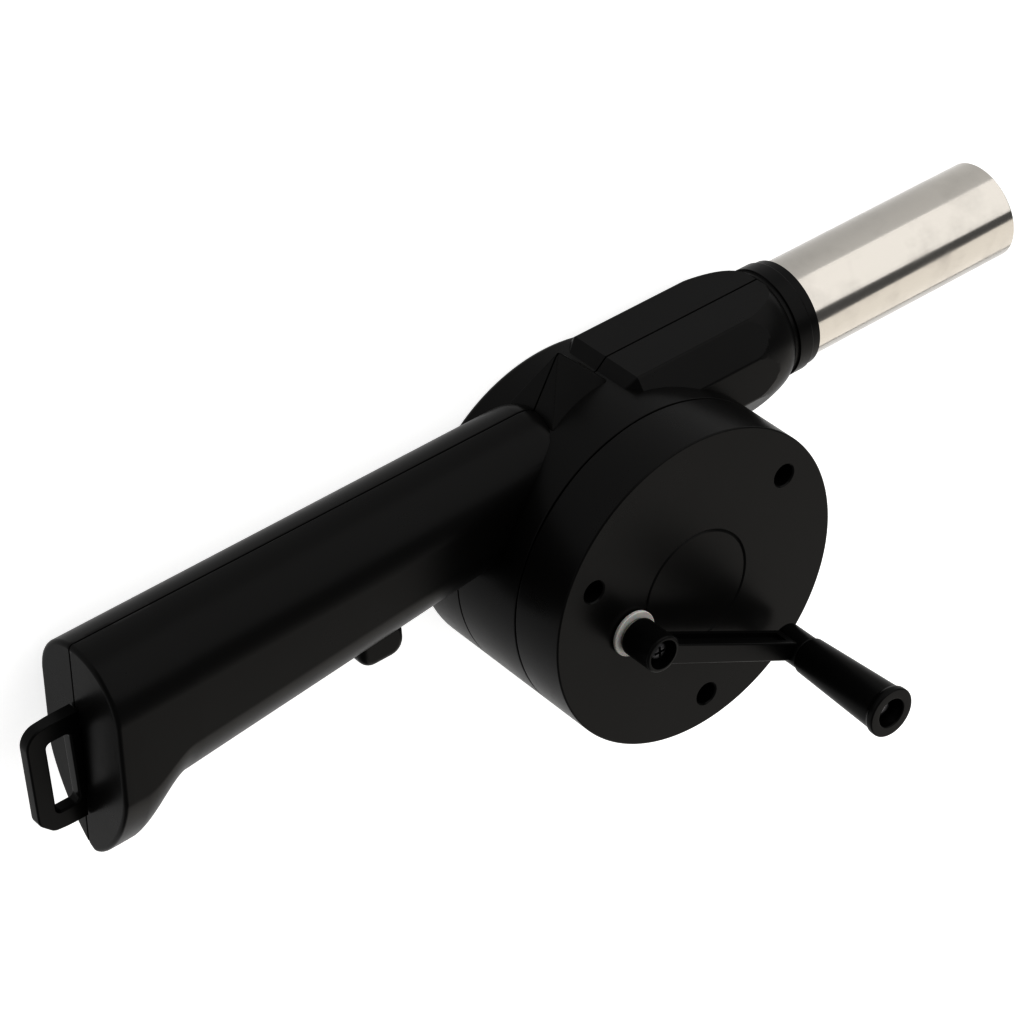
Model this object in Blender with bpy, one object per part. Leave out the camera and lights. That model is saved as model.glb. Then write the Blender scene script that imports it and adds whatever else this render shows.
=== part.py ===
"""Hand-cranked barbecue blower, lying on the flat back of its drum.

+X runs out along the steel air tube, +Y is the side of the handle's straight back,
and +Z is the axis of the drum, with the crank on top. The origin is the centre of
the drum's flat back. Every size is in metres.
"""

import math

import bmesh
import bpy
from mathutils import Matrix, Vector

MM = 0.001

# Gaps between neighbours
SEAM_GAP = 0.3 * MM
RUN_GAP = 0.3 * MM

# Drum
DRUM_RADIUS = 38.0 * MM
SPLIT_Z = 14.8 * MM
COVER_SEAM_Z = 34.3 * MM
COVER_TOP_Z = 48.6 * MM
WALL = 2.0 * MM
BACK_ROUNDING = 1.6 * MM
FRONT_CHAMFER = 0.35 * MM
BULKHEAD_Z = 24.8 * MM
DRUM_SEGMENTS = 48
ROUND_SEGMENTS = 24
SMALL_SEGMENTS = 14
SHELL_SOLVER = "MANIFOLD"

# Handle
HANDLE_BACK_Y = 37.5 * MM
HANDLE_HALF_WIDTH = 14.0 * MM
HANDLE_NECK_HALF_WIDTH = 12.6 * MM
HANDLE_BUTT_X = -132.5 * MM
BUTT_SLANT = 2.6 * MM
HANDLE_NECK_X = -22.0 * MM
HANDLE_ROOT_X = -14.0 * MM
BELLY_NECK_Y = 7.8 * MM
BELLY_REAR_Y = -2.9 * MM
BELLY_REAR_X = -111.0 * MM
BUTT_TOE_Y = -14.4 * MM
BUTT_TOE_X = -129.0 * MM
ARCH_HEIGHT = 12.5 * MM
HANDLE_RISE = 2.0 * MM
HANDLE_ROOT_RUN = 5.0 * MM
HANDLE_ROOT_DROP = 3.0 * MM
BELLY_SHARE = 0.405
BELLY_POWER = 1.4
BUTT_ROUNDING = 1.6 * MM

# Finger stop under the handle
STOP_X = -62.0 * MM
STOP_LENGTH = 11.5 * MM
STOP_DEPTH = 5.4 * MM
STOP_HALF_WIDTH = 5.5 * MM
STOP_ROUNDING = 1.8 * MM
STOP_ROOT = 4.0 * MM

# Hanging loop
LOOP_THICKNESS = 3.0 * MM
LOOP_OUTER_X = -146.2 * MM
LOOP_LOW_Y = -4.6 * MM
LOOP_HIGH_Y = 22.2 * MM
LOOP_BAR = 4.4 * MM
LOOP_CORNER = 4.2 * MM
LOOP_CHAMFER = 3.4 * MM
LOOP_TONGUE_HALF = 6.0 * MM
LOOP_FOOT_HALF = 9.0 * MM
LOOP_FOOT_LENGTH = 2.6 * MM
LOOP_INNER_BAR = 1.9 * MM

# Air duct and nozzle
TUBE_Y = 27.9 * MM
TUBE_RADIUS = 11.5 * MM
TUBE_WALL = 0.6 * MM
TUBE_END_X = 115.0 * MM
DUCT_END_X = 48.0 * MM
DUCT_START_X = 2.4 * MM
DUCT_HALF_WIDTH = TUBE_RADIUS + 0.8 * MM
DUCT_HALF_HEIGHT = 15.4 * MM
DUCT_TOP_HALF = 5.1 * MM
DUCT_SIDE_HALF = 10.5 * MM
DUCT_LEAD = 3.0 * MM
DUCT_LEAD_INSET = 2.5 * MM
NOSE_RADIUS = TUBE_RADIUS + 0.1 * MM
NOSE_SWELL = 5.0 * MM
NOSE_START_X = 26.0 * MM
NOSE_LENGTH = 22.5 * MM
SPIGOT_LENGTH = 7.5 * MM
SPIGOT_WALL = 1.4 * MM
COLLAR_LENGTH = 7.0 * MM
COLLAR_STEP_X = 4.6 * MM
COLLAR_WALL = 1.1 * MM
COLLAR_RADIUS = TUBE_RADIUS + SEAM_GAP + COLLAR_WALL
COLLAR_STEP = 0.4 * MM

# Crest where the duct meets the handle
CREST_X = -7.3 * MM
CREST_Y = 47.6 * MM
CREST_FOOT_X = -15.5 * MM
CREST_FOOT_HALF = 7.3 * MM
CREST_END_X = 2.0 * MM
CREST_END_HALF = 4.6 * MM
CREST_ROOT_DEPTH = 8.0 * MM

# Gear train: teeth, module and levels
MODULE = 0.8 * MM
CRANK_TEETH = 34
PINION_TEETH = 12
WHEEL_TEETH = 30
FAN_PINION_TEETH = 10
ADDENDUM = 0.85
DEDENDUM = 1.15
BACKLASH = 0.24 * MM
PRESSURE_ANGLE = math.radians(20.0)
GEAR_THICKNESS = 4.0 * MM
LEVEL_GAP = 1.0 * MM
CRANK_X = -18.0 * MM
CRANK_Y = -2.0 * MM
FIRST_IDLER_ANGLE = math.radians(60.0)
GEAR_WEB = 1.6 * MM
GEAR_RIM = 1.8 * MM

# Shafts and bushes
FAN_SHAFT_RADIUS = 1.5 * MM
IDLER_PIN_RADIUS = 1.25 * MM
CRANK_SHAFT_RADIUS = 3.4 * MM
SOCKET_WALL = 1.4 * MM
SOCKET_DEPTH = 2.5 * MM
BUSH_RADIUS = 3.6 * MM
BUSH_FLANGE_RADIUS = 5.0 * MM
BUSH_FLANGE = 0.8 * MM

# Impeller
IMPELLER_RADIUS = 28.0 * MM
IMPELLER_HUB_RADIUS = 5.0 * MM
IMPELLER_BLADES = 10
IMPELLER_BLADE = 1.2 * MM
IMPELLER_PLATE = 1.5 * MM
IMPELLER_LOW_Z = 4.0 * MM
IMPELLER_TOP_Z = 20.0 * MM
IMPELLER_EYE_RADIUS = 12.0 * MM
IMPELLER_EYE_FLARE = 2.0 * MM
IMPELLER_EYE_STEP = 3.0 * MM
IMPELLER_EYE_DEPTH = 8.0 * MM
BLADE_ROOT = 0.6 * MM
BLADE_SWEEP = math.radians(34.0)

# Air intake slots in the back of the drum
SLOT_COUNT = 12
SLOT_WIDTH = 3.2 * MM
SLOT_INNER_RADIUS = 11.0 * MM
SLOT_OUTER_RADIUS = 25.5 * MM

# Cover screws and shell screws
COVER_SCREW_COUNT = 3
COVER_SCREW_CIRCLE = 30.5 * MM
COVER_SCREW_PHASE = math.radians(33.5)
SCREW_HOLE_RADIUS = 2.6 * MM
SCREW_BOSS_RADIUS = 3.6 * MM
SCREW_HEAD_RADIUS = 2.2 * MM
SCREW_HEAD_HEIGHT = 1.6 * MM
SCREW_SHANK_RADIUS = 1.0 * MM
SCREW_FLOOR = 2.0 * MM
SCREW_LENGTH = 9.0 * MM
SCREW_POINT = 1.2 * MM
CROSS_REACH = 0.6
CROSS_HALF = 0.14
COVER_SCREW_FLOOR_Z = 38.8 * MM
SHELL_SCREW_FLOOR_Z = 8.8 * MM
SHELL_SCREW_PLACES = {
    "butt": (-115.0 * MM, 13.0 * MM),
    "grip": (-66.0 * MM, 17.0 * MM),
    "drum": (24.0 * MM, -22.5 * MM),
}

# Crank
WASHER_RADIUS = 5.4 * MM
WASHER_THICKNESS = 0.9 * MM
ARM_ANGLE = math.radians(-28.3)
ARM_LENGTH = 44.3 * MM
ARM_LOW_Z = 52.8 * MM
ARM_TOP_Z = 59.1 * MM
ARM_WIDTH = 4.8 * MM
ARM_GROOVE = 1.2 * MM
ARM_FLANGE = 1.5 * MM
ARM_HUB_RADIUS = 4.4 * MM
ARM_EYE_RADIUS = 3.9 * MM
ARM_EYE_TOP_Z = 60.4 * MM
ARM_TAPER = 0.92
SQUARE_STUB = 4.4 * MM
STUB_TOP_Z = 56.0 * MM
HUB_RECESS_RADIUS = 2.7 * MM

# Knob
KNOB_BASE_RADIUS = 4.3 * MM
KNOB_END_RADIUS = 5.5 * MM
KNOB_RIM_RADIUS = 5.9 * MM
KNOB_RIM = 1.6 * MM
KNOB_LENGTH = 26.2 * MM
KNOB_WELL_RADIUS = 3.4 * MM
KNOB_WELL_DEPTH = 4.5 * MM
KNOB_PIN_RADIUS = 1.6 * MM
KNOB_PIN_HEAD_RADIUS = 2.6 * MM
KNOB_PIN_HEAD = 1.6 * MM


def clear_scene():
    """Empty the scene of every object it holds."""
    for item in list(bpy.data.objects):
        bpy.data.objects.remove(item, do_unlink=True)


def finish(name, colour, roughness, metallic=0.0):
    """A plain material with the colour and gloss of one finish."""
    made = bpy.data.materials.new(name)
    made.use_nodes = True
    shader = made.node_tree.nodes["Principled BSDF"]
    shader.inputs["Base Color"].default_value = (*colour, 1.0)
    shader.inputs["Roughness"].default_value = roughness
    shader.inputs["Metallic"].default_value = metallic
    return made


def to_object(name, mesh_data):
    """Turn a bmesh into a linked object and free the bmesh."""
    bmesh.ops.recalc_face_normals(mesh_data, faces=mesh_data.faces)
    mesh = bpy.data.meshes.new(name)
    mesh_data.to_mesh(mesh)
    mesh_data.free()
    made = bpy.data.objects.new(name, mesh)
    bpy.context.scene.collection.objects.link(made)
    return made


def prism(name, outline, low_z, high_z):
    """A flat outline of (x, y) points raised from low_z to high_z."""
    form = bmesh.new()
    ring = [form.verts.new((x, y, low_z)) for x, y in outline]
    face = form.faces.new(ring)
    raised = bmesh.ops.extrude_face_region(form, geom=[face])
    top = [item for item in raised["geom"] if isinstance(item, bmesh.types.BMVert)]
    bmesh.ops.translate(form, verts=top, vec=(0.0, 0.0, high_z - low_z))
    return to_object(name, form)


def turned(name, profile, segments, centre=(0.0, 0.0)):
    """Spin a closed (radius, z) profile round a vertical axis through centre."""
    form = bmesh.new()
    corners = [form.verts.new((radius, 0.0, z)) for radius, z in profile]
    edges = [form.edges.new(pair) for pair in zip(corners, corners[1:])]
    if min(profile[0][0], profile[-1][0]) > 0.0:
        edges.append(form.edges.new((corners[-1], corners[0])))
    bmesh.ops.spin(
        form, geom=corners + edges, cent=(0.0, 0.0, 0.0), axis=(0.0, 0.0, 1.0),
        angle=math.tau, steps=segments, use_merge=True,
    )
    bmesh.ops.remove_doubles(form, verts=form.verts, dist=1e-7)
    bmesh.ops.translate(form, verts=form.verts, vec=(*centre, 0.0))
    return to_object(name, form)


def cylinder(name, radius, low_z, high_z, centre=(0.0, 0.0), segments=SMALL_SEGMENTS):
    """A plain upright cylinder."""
    outline = circle_points(radius, segments, centre)
    return prism(name, outline, low_z, high_z)


def polar(centre, radius, angle):
    """The point at a radius and an angle round a centre."""
    return centre[0] + radius * math.cos(angle), centre[1] + radius * math.sin(angle)


def circle_points(radius, segments, centre=(0.0, 0.0)):
    """Points of a regular polygon on a circle."""
    return [polar(centre, radius, math.tau * k / segments) for k in range(segments)]


def lay_along_x(item):
    """Turn an upright form about the split plane so that its axis lies on the tube."""
    turn = Matrix.Rotation(math.radians(90.0), 4, "Y")
    place = Matrix.Translation((0.0, TUBE_Y, SPLIT_Z))
    item.data.transform(place @ turn)
    return item


def boolean(target, tool, operation, solver="EXACT"):
    """Apply one Boolean to target and drop the tool."""
    step = target.modifiers.new(operation, "BOOLEAN")
    step.operation = operation
    step.solver = solver
    step.object = tool
    seen = target.evaluated_get(bpy.context.evaluated_depsgraph_get())
    result = bpy.data.meshes.new_from_object(seen)
    target.modifiers.clear()
    old = target.data
    target.data = result
    bpy.data.meshes.remove(old)
    bpy.data.objects.remove(tool, do_unlink=True)
    return target


def add(target, *tools, solver="EXACT"):
    """Join tools to target."""
    for tool in tools:
        boolean(target, tool, "UNION", solver)
    return target


def cut(target, *tools, solver="EXACT"):
    """Cut tools out of target."""
    for tool in tools:
        boolean(target, tool, "DIFFERENCE", solver)
    return target


def keep_inside(target, tool, solver="EXACT"):
    """Keep only what target shares with tool."""
    return boolean(target, tool, "INTERSECT", solver)


def finished(item, name, material, smooth=30.0):
    """Name a finished piece, give it its material and soften its round faces."""
    item.name = name
    item.data.name = name
    form = bmesh.new()
    form.from_mesh(item.data)
    bmesh.ops.remove_doubles(form, verts=form.verts, dist=2e-6)
    bmesh.ops.dissolve_degenerate(form, edges=form.edges, dist=2e-6)
    form.to_mesh(item.data)
    form.free()
    item.data.materials.clear()
    item.data.materials.append(material)
    item.data.shade_smooth()
    item.data.set_sharp_from_angle(angle=math.radians(smooth))
    return item


def box(name, low, high):
    """An upright box between two corners."""
    outline = [(low[0], low[1]), (high[0], low[1]), (high[0], high[1]), (low[0], high[1])]
    return prism(name, outline, low[2], high[2])


def belly_y(x):
    """Lowest edge of the handle at x: a long taper, then a hollow down to the toe."""
    neck = HANDLE_NECK_X
    if x >= BELLY_REAR_X:
        share = (neck - x) / (neck - BELLY_REAR_X)
        return BELLY_NECK_Y + (BELLY_REAR_Y - BELLY_NECK_Y) * share
    share = min(1.0, (BELLY_REAR_X - x) / (BELLY_REAR_X - BUTT_TOE_X))
    ease = share * share * (3.0 - 2.0 * share)
    return BELLY_REAR_Y + (BUTT_TOE_Y - BELLY_REAR_Y) * ease


def half_width(x):
    """Half the handle's thickness at x."""
    share = (HANDLE_NECK_X - x) / (HANDLE_NECK_X - HANDLE_BUTT_X)
    return HANDLE_NECK_HALF_WIDTH + (HANDLE_HALF_WIDTH - HANDLE_NECK_HALF_WIDTH) * share


def handle_z(x):
    """Middle of the handle's thickness at x: it rises a little towards the butt."""
    share = (HANDLE_NECK_X - x) / (HANDLE_NECK_X - HANDLE_BUTT_X)
    return SPLIT_Z + HANDLE_RISE * share


def handle_ring(x, inset, points=20):
    """One section of the handle: a round back over a belly that narrows to its edge."""
    back = HANDLE_BACK_Y - inset
    belly = belly_y(x) + inset
    width = half_width(x) - inset
    arch = ARCH_HEIGHT - inset
    deep = (back - belly) * BELLY_SHARE
    ring = []
    for k in range(points):
        angle = math.tau * (k + 0.5) / points
        side = math.cos(angle)
        rise = math.sin(angle)
        if rise > 0.0:
            y = back - arch + arch * rise
        else:
            y = belly + deep - deep * abs(rise) ** BELLY_POWER
            side = math.copysign(abs(side) ** BELLY_POWER, side)
        ring.append(Vector((x, y, handle_z(x) + width * side)))
    return ring


def lean(point, start_x):
    """Slant the butt: points past start_x shift back as they drop."""
    if point.x > start_x:
        return point
    drop = (HANDLE_BACK_Y - point.y) / (HANDLE_BACK_Y - BUTT_TOE_Y)
    return Vector((point.x - BUTT_SLANT * drop, point.y, point.z))


def handle_form(name, inset, root_x, root_drop=0.0):
    """Loft the handle from root_x to its butt, inset for the hollow inside it.

    A root_drop draws the first section in, so that the back dips into the drum.
    """
    butt = HANDLE_BUTT_X + inset
    rounding = max(BUTT_ROUNDING - inset, 0.0)
    stations = [root_x, BELLY_REAR_X]
    if root_drop > 0.0:
        stations.insert(1, root_x - HANDLE_ROOT_RUN)
    steps = 5
    reach = BUTT_TOE_X - BELLY_REAR_X
    stations += [BELLY_REAR_X + reach * k / steps for k in range(1, steps + 1)]
    stations.append(butt + rounding)
    form = bmesh.new()
    loops = []
    for x in stations:
        drawn_in = root_drop if x == root_x else 0.0
        section = handle_ring(x, inset + drawn_in)
        ring = [form.verts.new(lean(point, BUTT_TOE_X)) for point in section]
        loops.append(ring)
    if rounding > 0.0:
        for share in (0.5, 1.0):
            turn = share * math.pi / 2.0
            inward = rounding * (1.0 - math.cos(turn))
            forward = rounding * math.sin(turn)
            ring = []
            for point in handle_ring(butt, inset + inward):
                place = lean(Vector((butt + rounding - forward, point.y, point.z)), BUTT_TOE_X)
                ring.append(form.verts.new(place))
            loops.append(ring)
    count = len(loops[0])
    for first, second in zip(loops, loops[1:]):
        for k in range(count):
            after = (k + 1) % count
            form.faces.new((first[k], first[after], second[after], second[k]))
    form.faces.new(loops[0])
    form.faces.new(loops[-1])
    bmesh.ops.triangulate(form, faces=form.faces)
    return to_object(name, form)


def octagon(inset):
    """Section of the duct as (height, width) points round the tube's axis."""
    high = DUCT_HALF_HEIGHT - inset
    wide = DUCT_HALF_WIDTH - inset
    slope = math.atan2(DUCT_HALF_HEIGHT - DUCT_SIDE_HALF, DUCT_HALF_WIDTH - DUCT_TOP_HALF)
    top = DUCT_TOP_HALF - inset * math.tan(slope / 2.0)
    side = DUCT_SIDE_HALF - inset * math.tan(math.pi / 4.0 - slope / 2.0)
    return [
        (high, top), (side, wide), (-side, wide), (-high, top),
        (-high, -top), (-side, -wide), (side, -wide), (high, -top),
    ]


def duct_form(name, inset, start_x, end_x, lead=0.0):
    """A length of the eight-sided duct, with its start drawn in where it has a lead."""
    form = bmesh.new()
    sections = [(start_x, inset), (end_x, inset)]
    if lead > 0.0:
        sections = [(start_x, inset + DUCT_LEAD_INSET), (start_x + lead, inset), (end_x, inset)]
    loops = []
    for x, drawn_in in sections:
        loops.append([
            form.verts.new((x, TUBE_Y + height, SPLIT_Z + across))
            for height, across in octagon(drawn_in)
        ])
    count = len(loops[0])
    for near, far in zip(loops, loops[1:]):
        for k in range(count):
            after = (k + 1) % count
            form.faces.new((near[k], near[after], far[after], far[k]))
    form.faces.new(loops[0])
    form.faces.new(loops[-1])
    bmesh.ops.triangulate(form, faces=form.faces)
    return to_object(name, form)


def duct_nose(name):
    """The round bullet that trims the duct's flats down to the collar."""
    start = DUCT_START_X - WALL
    profile = [(0.0, start), (NOSE_RADIUS + NOSE_SWELL, start)]
    steps = 6
    for k in range(steps + 1):
        x = NOSE_START_X + (DUCT_END_X - NOSE_START_X) * k / steps
        share = (x - NOSE_START_X) / NOSE_LENGTH
        profile.append((NOSE_RADIUS + NOSE_SWELL * math.sqrt(1.0 - share * share), x))
    profile.append((0.0, DUCT_END_X))
    return lay_along_x(turned(name, profile, 32))


def crest_form(name):
    """Pointed crest on the drum where the handle's back meets the duct."""
    foot_y = math.sqrt(DRUM_RADIUS ** 2 - CREST_FOOT_X ** 2)
    end_y = math.sqrt(DRUM_RADIUS ** 2 - CREST_END_X ** 2)
    points = [(CREST_X, CREST_Y, 0.0)]
    for side in (-1.0, 1.0):
        points += [
            (CREST_FOOT_X, foot_y, side * CREST_FOOT_HALF),
            (CREST_END_X, end_y, side * CREST_END_HALF),
            (CREST_X, DRUM_RADIUS - CREST_ROOT_DEPTH, side * CREST_END_HALF / 2.0),
        ]
    form = bmesh.new()
    for x, y, across in points:
        form.verts.new((x, y, SPLIT_Z + across))
    hull = bmesh.ops.convex_hull(form, input=form.verts)
    inner = [item for item in hull["geom_interior"] if isinstance(item, bmesh.types.BMVert)]
    bmesh.ops.delete(form, geom=inner, context="VERTS")
    return to_object(name, form)


def finger_stop(name):
    """Rounded nub under the handle that stops the forefinger."""
    belly = belly_y(STOP_X) + STOP_ROOT
    low = belly_y(STOP_X) - STOP_DEPTH
    radius = STOP_DEPTH * 0.8
    left = STOP_X - STOP_LENGTH / 2.0
    right = STOP_X + STOP_LENGTH / 2.0
    outline = [(right, belly), (left, belly)]
    for centre_x, first in ((left + radius, 180.0), (right - radius, 270.0)):
        for k in range(5):
            angle = math.radians(first + 90.0 * k / 4.0)
            across = centre_x + radius * math.cos(angle)
            outline.append((across, low + radius + radius * math.sin(angle)))
    made = prism(name, outline, SPLIT_Z - STOP_HALF_WIDTH, SPLIT_Z + STOP_HALF_WIDTH)
    form = bmesh.new()
    form.from_mesh(made.data)
    ends = [face for face in form.faces if abs(face.normal.z) > 0.9]
    edges = [edge for face in ends for edge in face.edges]
    bmesh.ops.bevel(
        form, geom=edges, offset=STOP_ROUNDING, segments=2, profile=0.5, affect="EDGES",
        material=-1,
    )
    form.to_mesh(made.data)
    form.free()
    return made


def drum_form(name):
    """Outside of the drum behind the gear cover, rounded at its back edge."""
    profile = [(0.0, 0.0), (DRUM_RADIUS - BACK_ROUNDING, 0.0)]
    for k in range(1, 5):
        angle = math.radians(-90.0 + 90.0 * k / 4.0)
        profile.append((
            DRUM_RADIUS - BACK_ROUNDING + BACK_ROUNDING * math.cos(angle),
            BACK_ROUNDING + BACK_ROUNDING * math.sin(angle),
        ))
    profile += [(DRUM_RADIUS, COVER_SEAM_Z), (0.0, COVER_SEAM_Z)]
    return turned(name, profile, DRUM_SEGMENTS)


def outer_form(name):
    """The outside of both moulded halves together."""
    duct = duct_form("duct", 0.0, DUCT_START_X, DUCT_END_X + WALL, DUCT_LEAD)
    keep_inside(duct, duct_nose("nose"), solver=SHELL_SOLVER)
    body = drum_form(name)
    handle = handle_form("handle", 0.0, HANDLE_ROOT_X, HANDLE_ROOT_DROP)
    return add(
        body, handle, duct, crest_form("crest"), finger_stop("stop"), solver=SHELL_SOLVER,
    )


def inner_form(name):
    """The hollow that both moulded halves share."""
    chamber = cylinder(name, DRUM_RADIUS - WALL, WALL, COVER_TOP_Z, segments=DRUM_SEGMENTS)
    bore = lay_along_x(cylinder(
        "bore", spigot_radius() - SPIGOT_WALL, DUCT_START_X, DUCT_END_X + 4.0 * SPIGOT_LENGTH,
        segments=32,
    ))
    hollow = duct_form("hollow", WALL, DUCT_START_X + 2.0 * WALL, NOSE_START_X)
    return add(chamber, handle_form("grip", WALL, HANDLE_NECK_X), hollow, bore, solver=SHELL_SOLVER)


def spigot_radius():
    """Outside of the spigot that the steel tube slides over."""
    return TUBE_RADIUS - TUBE_WALL - RUN_GAP


def spigot_form(name):
    """Solid plug at the duct's end, later bored through."""
    return lay_along_x(cylinder(
        name, spigot_radius(), DUCT_END_X - 2.0 * WALL, DUCT_END_X + SPIGOT_LENGTH, segments=32,
    ))


def cover_screw_places():
    """Centres of the three deep screw holes in the gear cover."""
    step = math.tau / COVER_SCREW_COUNT
    return [
        polar((0.0, 0.0), COVER_SCREW_CIRCLE, COVER_SCREW_PHASE + step * k)
        for k in range(COVER_SCREW_COUNT)
    ]


def pitch_radius(teeth):
    """Pitch radius of a gear."""
    return teeth * MODULE / 2.0


def idler_places():
    """Centres of the two idlers: each is in mesh with the gear before it."""
    reach = pitch_radius(CRANK_TEETH) + pitch_radius(PINION_TEETH)
    first = polar((CRANK_X, CRANK_Y), reach, FIRST_IDLER_ANGLE)
    to_fan = pitch_radius(WHEEL_TEETH) + pitch_radius(FAN_PINION_TEETH)
    to_first = pitch_radius(WHEEL_TEETH) + pitch_radius(PINION_TEETH)
    span = math.hypot(*first)
    along = (to_fan ** 2 - to_first ** 2 + span ** 2) / (2.0 * span)
    aside = math.sqrt(to_fan ** 2 - along ** 2)
    unit = (first[0] / span, first[1] / span)
    second = (
        unit[0] * along + unit[1] * aside,
        unit[1] * along - unit[0] * aside,
    )
    return first, second


def level_z(level):
    """Underside of a gear level above the bulkhead, counted from 0."""
    return BULKHEAD_Z + WALL + LEVEL_GAP + level * (GEAR_THICKNESS + LEVEL_GAP)


def tooth_flank(teeth, radius):
    """Half of a tooth's angle at a radius: an involute above the base circle."""
    pitch = pitch_radius(teeth)
    base = pitch * math.cos(PRESSURE_ANGLE)
    half = (math.pi * MODULE - BACKLASH) / 4.0 / pitch
    involute = math.tan(PRESSURE_ANGLE) - PRESSURE_ANGLE
    if radius <= base:
        return half + involute
    slope = math.acos(base / radius)
    return half + involute - (math.tan(slope) - slope)


def gear_outline(teeth, phase, centre):
    """Outline of a spur gear with one tooth centred on phase."""
    pitch = pitch_radius(teeth)
    root = pitch - DEDENDUM * MODULE
    tip = pitch + ADDENDUM * MODULE
    radii = [root, pitch, tip] if teeth < WHEEL_TEETH else [root, tip]
    outline = []
    for k in range(teeth):
        middle = phase + math.tau * k / teeth
        flanks = [(radius, middle - tooth_flank(teeth, radius)) for radius in radii]
        flanks += [(radius, middle + tooth_flank(teeth, radius)) for radius in reversed(radii)]
        outline += [polar(centre, radius, angle) for radius, angle in flanks]
    return outline


def mesh_phase(driver_teeth, driver_phase, teeth, towards):
    """Phase that puts a gap of this gear on the driver's tooth, or the other way round.

    The angle towards points from the driver's centre to this gear's centre.
    """
    step = math.tau / driver_teeth
    offset = ((towards - driver_phase) / step) % 1.0
    return towards + math.pi + (offset + 0.5) * math.tau / teeth


def direction(start, end):
    """Angle from one centre to another."""
    return math.atan2(end[1] - start[1], end[0] - start[0])


def gear_phases():
    """Phases of every toothed ring, worked out from the crank gear to the fan."""
    first, second = idler_places()
    crank = (CRANK_X, CRANK_Y)
    drive = ARM_ANGLE
    pinion = mesh_phase(CRANK_TEETH, drive, PINION_TEETH, direction(crank, first))
    follower = mesh_phase(WHEEL_TEETH, pinion, PINION_TEETH, direction(first, second))
    fan = mesh_phase(WHEEL_TEETH, follower, FAN_PINION_TEETH, direction(second, (0.0, 0.0)))
    return drive, pinion, follower, fan


def relieved(gear, teeth, centre, low_z):
    """Thin the web of a wheel from its upper side, between its rim and its hub."""
    outer = pitch_radius(teeth) - DEDENDUM * MODULE - GEAR_RIM
    inner = pitch_radius(PINION_TEETH) + GEAR_RIM
    if outer - inner < GEAR_RIM:
        return gear
    profile = [
        (inner, low_z + GEAR_WEB), (outer, low_z + GEAR_WEB),
        (outer, low_z + GEAR_THICKNESS + LEVEL_GAP / 2.0),
        (inner, low_z + GEAR_THICKNESS + LEVEL_GAP / 2.0),
    ]
    return cut(gear, turned("relief", profile, ROUND_SEGMENTS, centre))


def compound_gear(name, centre, low_level, phase, material):
    """A wheel with the next stage's pinion moulded on top of it, on a plain bore."""
    low = level_z(low_level)
    top = level_z(low_level + 1)
    wheel = prism("wheel", gear_outline(WHEEL_TEETH, phase, centre), low, low + GEAR_THICKNESS)
    relieved(wheel, WHEEL_TEETH, centre, low)
    small = gear_outline(PINION_TEETH, phase, centre)
    pinion = prism("pinion", small, low + GEAR_WEB / 2.0, top + GEAR_THICKNESS)
    add(wheel, pinion)
    bore = IDLER_PIN_RADIUS + RUN_GAP
    cut(wheel, cylinder("bore", bore, low - WALL, top + 2.0 * GEAR_THICKNESS, centre))
    return finished(wheel, name, material)


def make_gears(plastic):
    """The crank gear with its shaft, two compound idlers and the fan's pinion."""
    drive, pinion, follower, fan = gear_phases()
    first, second = idler_places()
    crank = (CRANK_X, CRANK_Y)
    low = level_z(2)
    wheel = prism("wheel", gear_outline(CRANK_TEETH, drive, crank), low, low + GEAR_THICKNESS)
    relieved(wheel, CRANK_TEETH, crank, low)
    shaft = cylinder(
        "shaft", CRANK_SHAFT_RADIUS, low + GEAR_WEB / 2.0, washer_top_z() + SEAM_GAP, crank,
        ROUND_SEGMENTS,
    )
    half = SQUARE_STUB / 2.0
    stub = box("stub", (-half, -half, washer_top_z()), (half, half, STUB_TOP_Z))
    stub.data.transform(Matrix.Translation((*crank, 0.0)) @ Matrix.Rotation(ARM_ANGLE, 4, "Z"))
    add(wheel, shaft, stub)
    pilot = pilot_hole(crank, STUB_TOP_Z - SCREW_LENGTH, STUB_TOP_Z + WALL)
    foot = cylinder("foot", IDLER_PIN_RADIUS + RUN_GAP, low - WALL, low + 2.0 * WALL, crank)
    cut(wheel, pilot, foot)
    finished(wheel, "crank_gear", plastic)
    compound_gear("first_idler_gear", first, 1, pinion, plastic)
    compound_gear("second_idler_gear", second, 0, follower, plastic)
    base = level_z(0)
    outline = gear_outline(FAN_PINION_TEETH, fan, (0.0, 0.0))
    small = prism("small", outline, base, base + GEAR_THICKNESS)
    bore = FAN_SHAFT_RADIUS + SEAM_GAP
    cut(small, cylinder("bore", bore, base - WALL, base + 2.0 * GEAR_THICKNESS))
    finished(small, "fan_pinion", plastic)


def washer_top_z():
    """Upper face of the white washer under the crank."""
    return COVER_TOP_Z + SEAM_GAP + WASHER_THICKNESS


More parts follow.
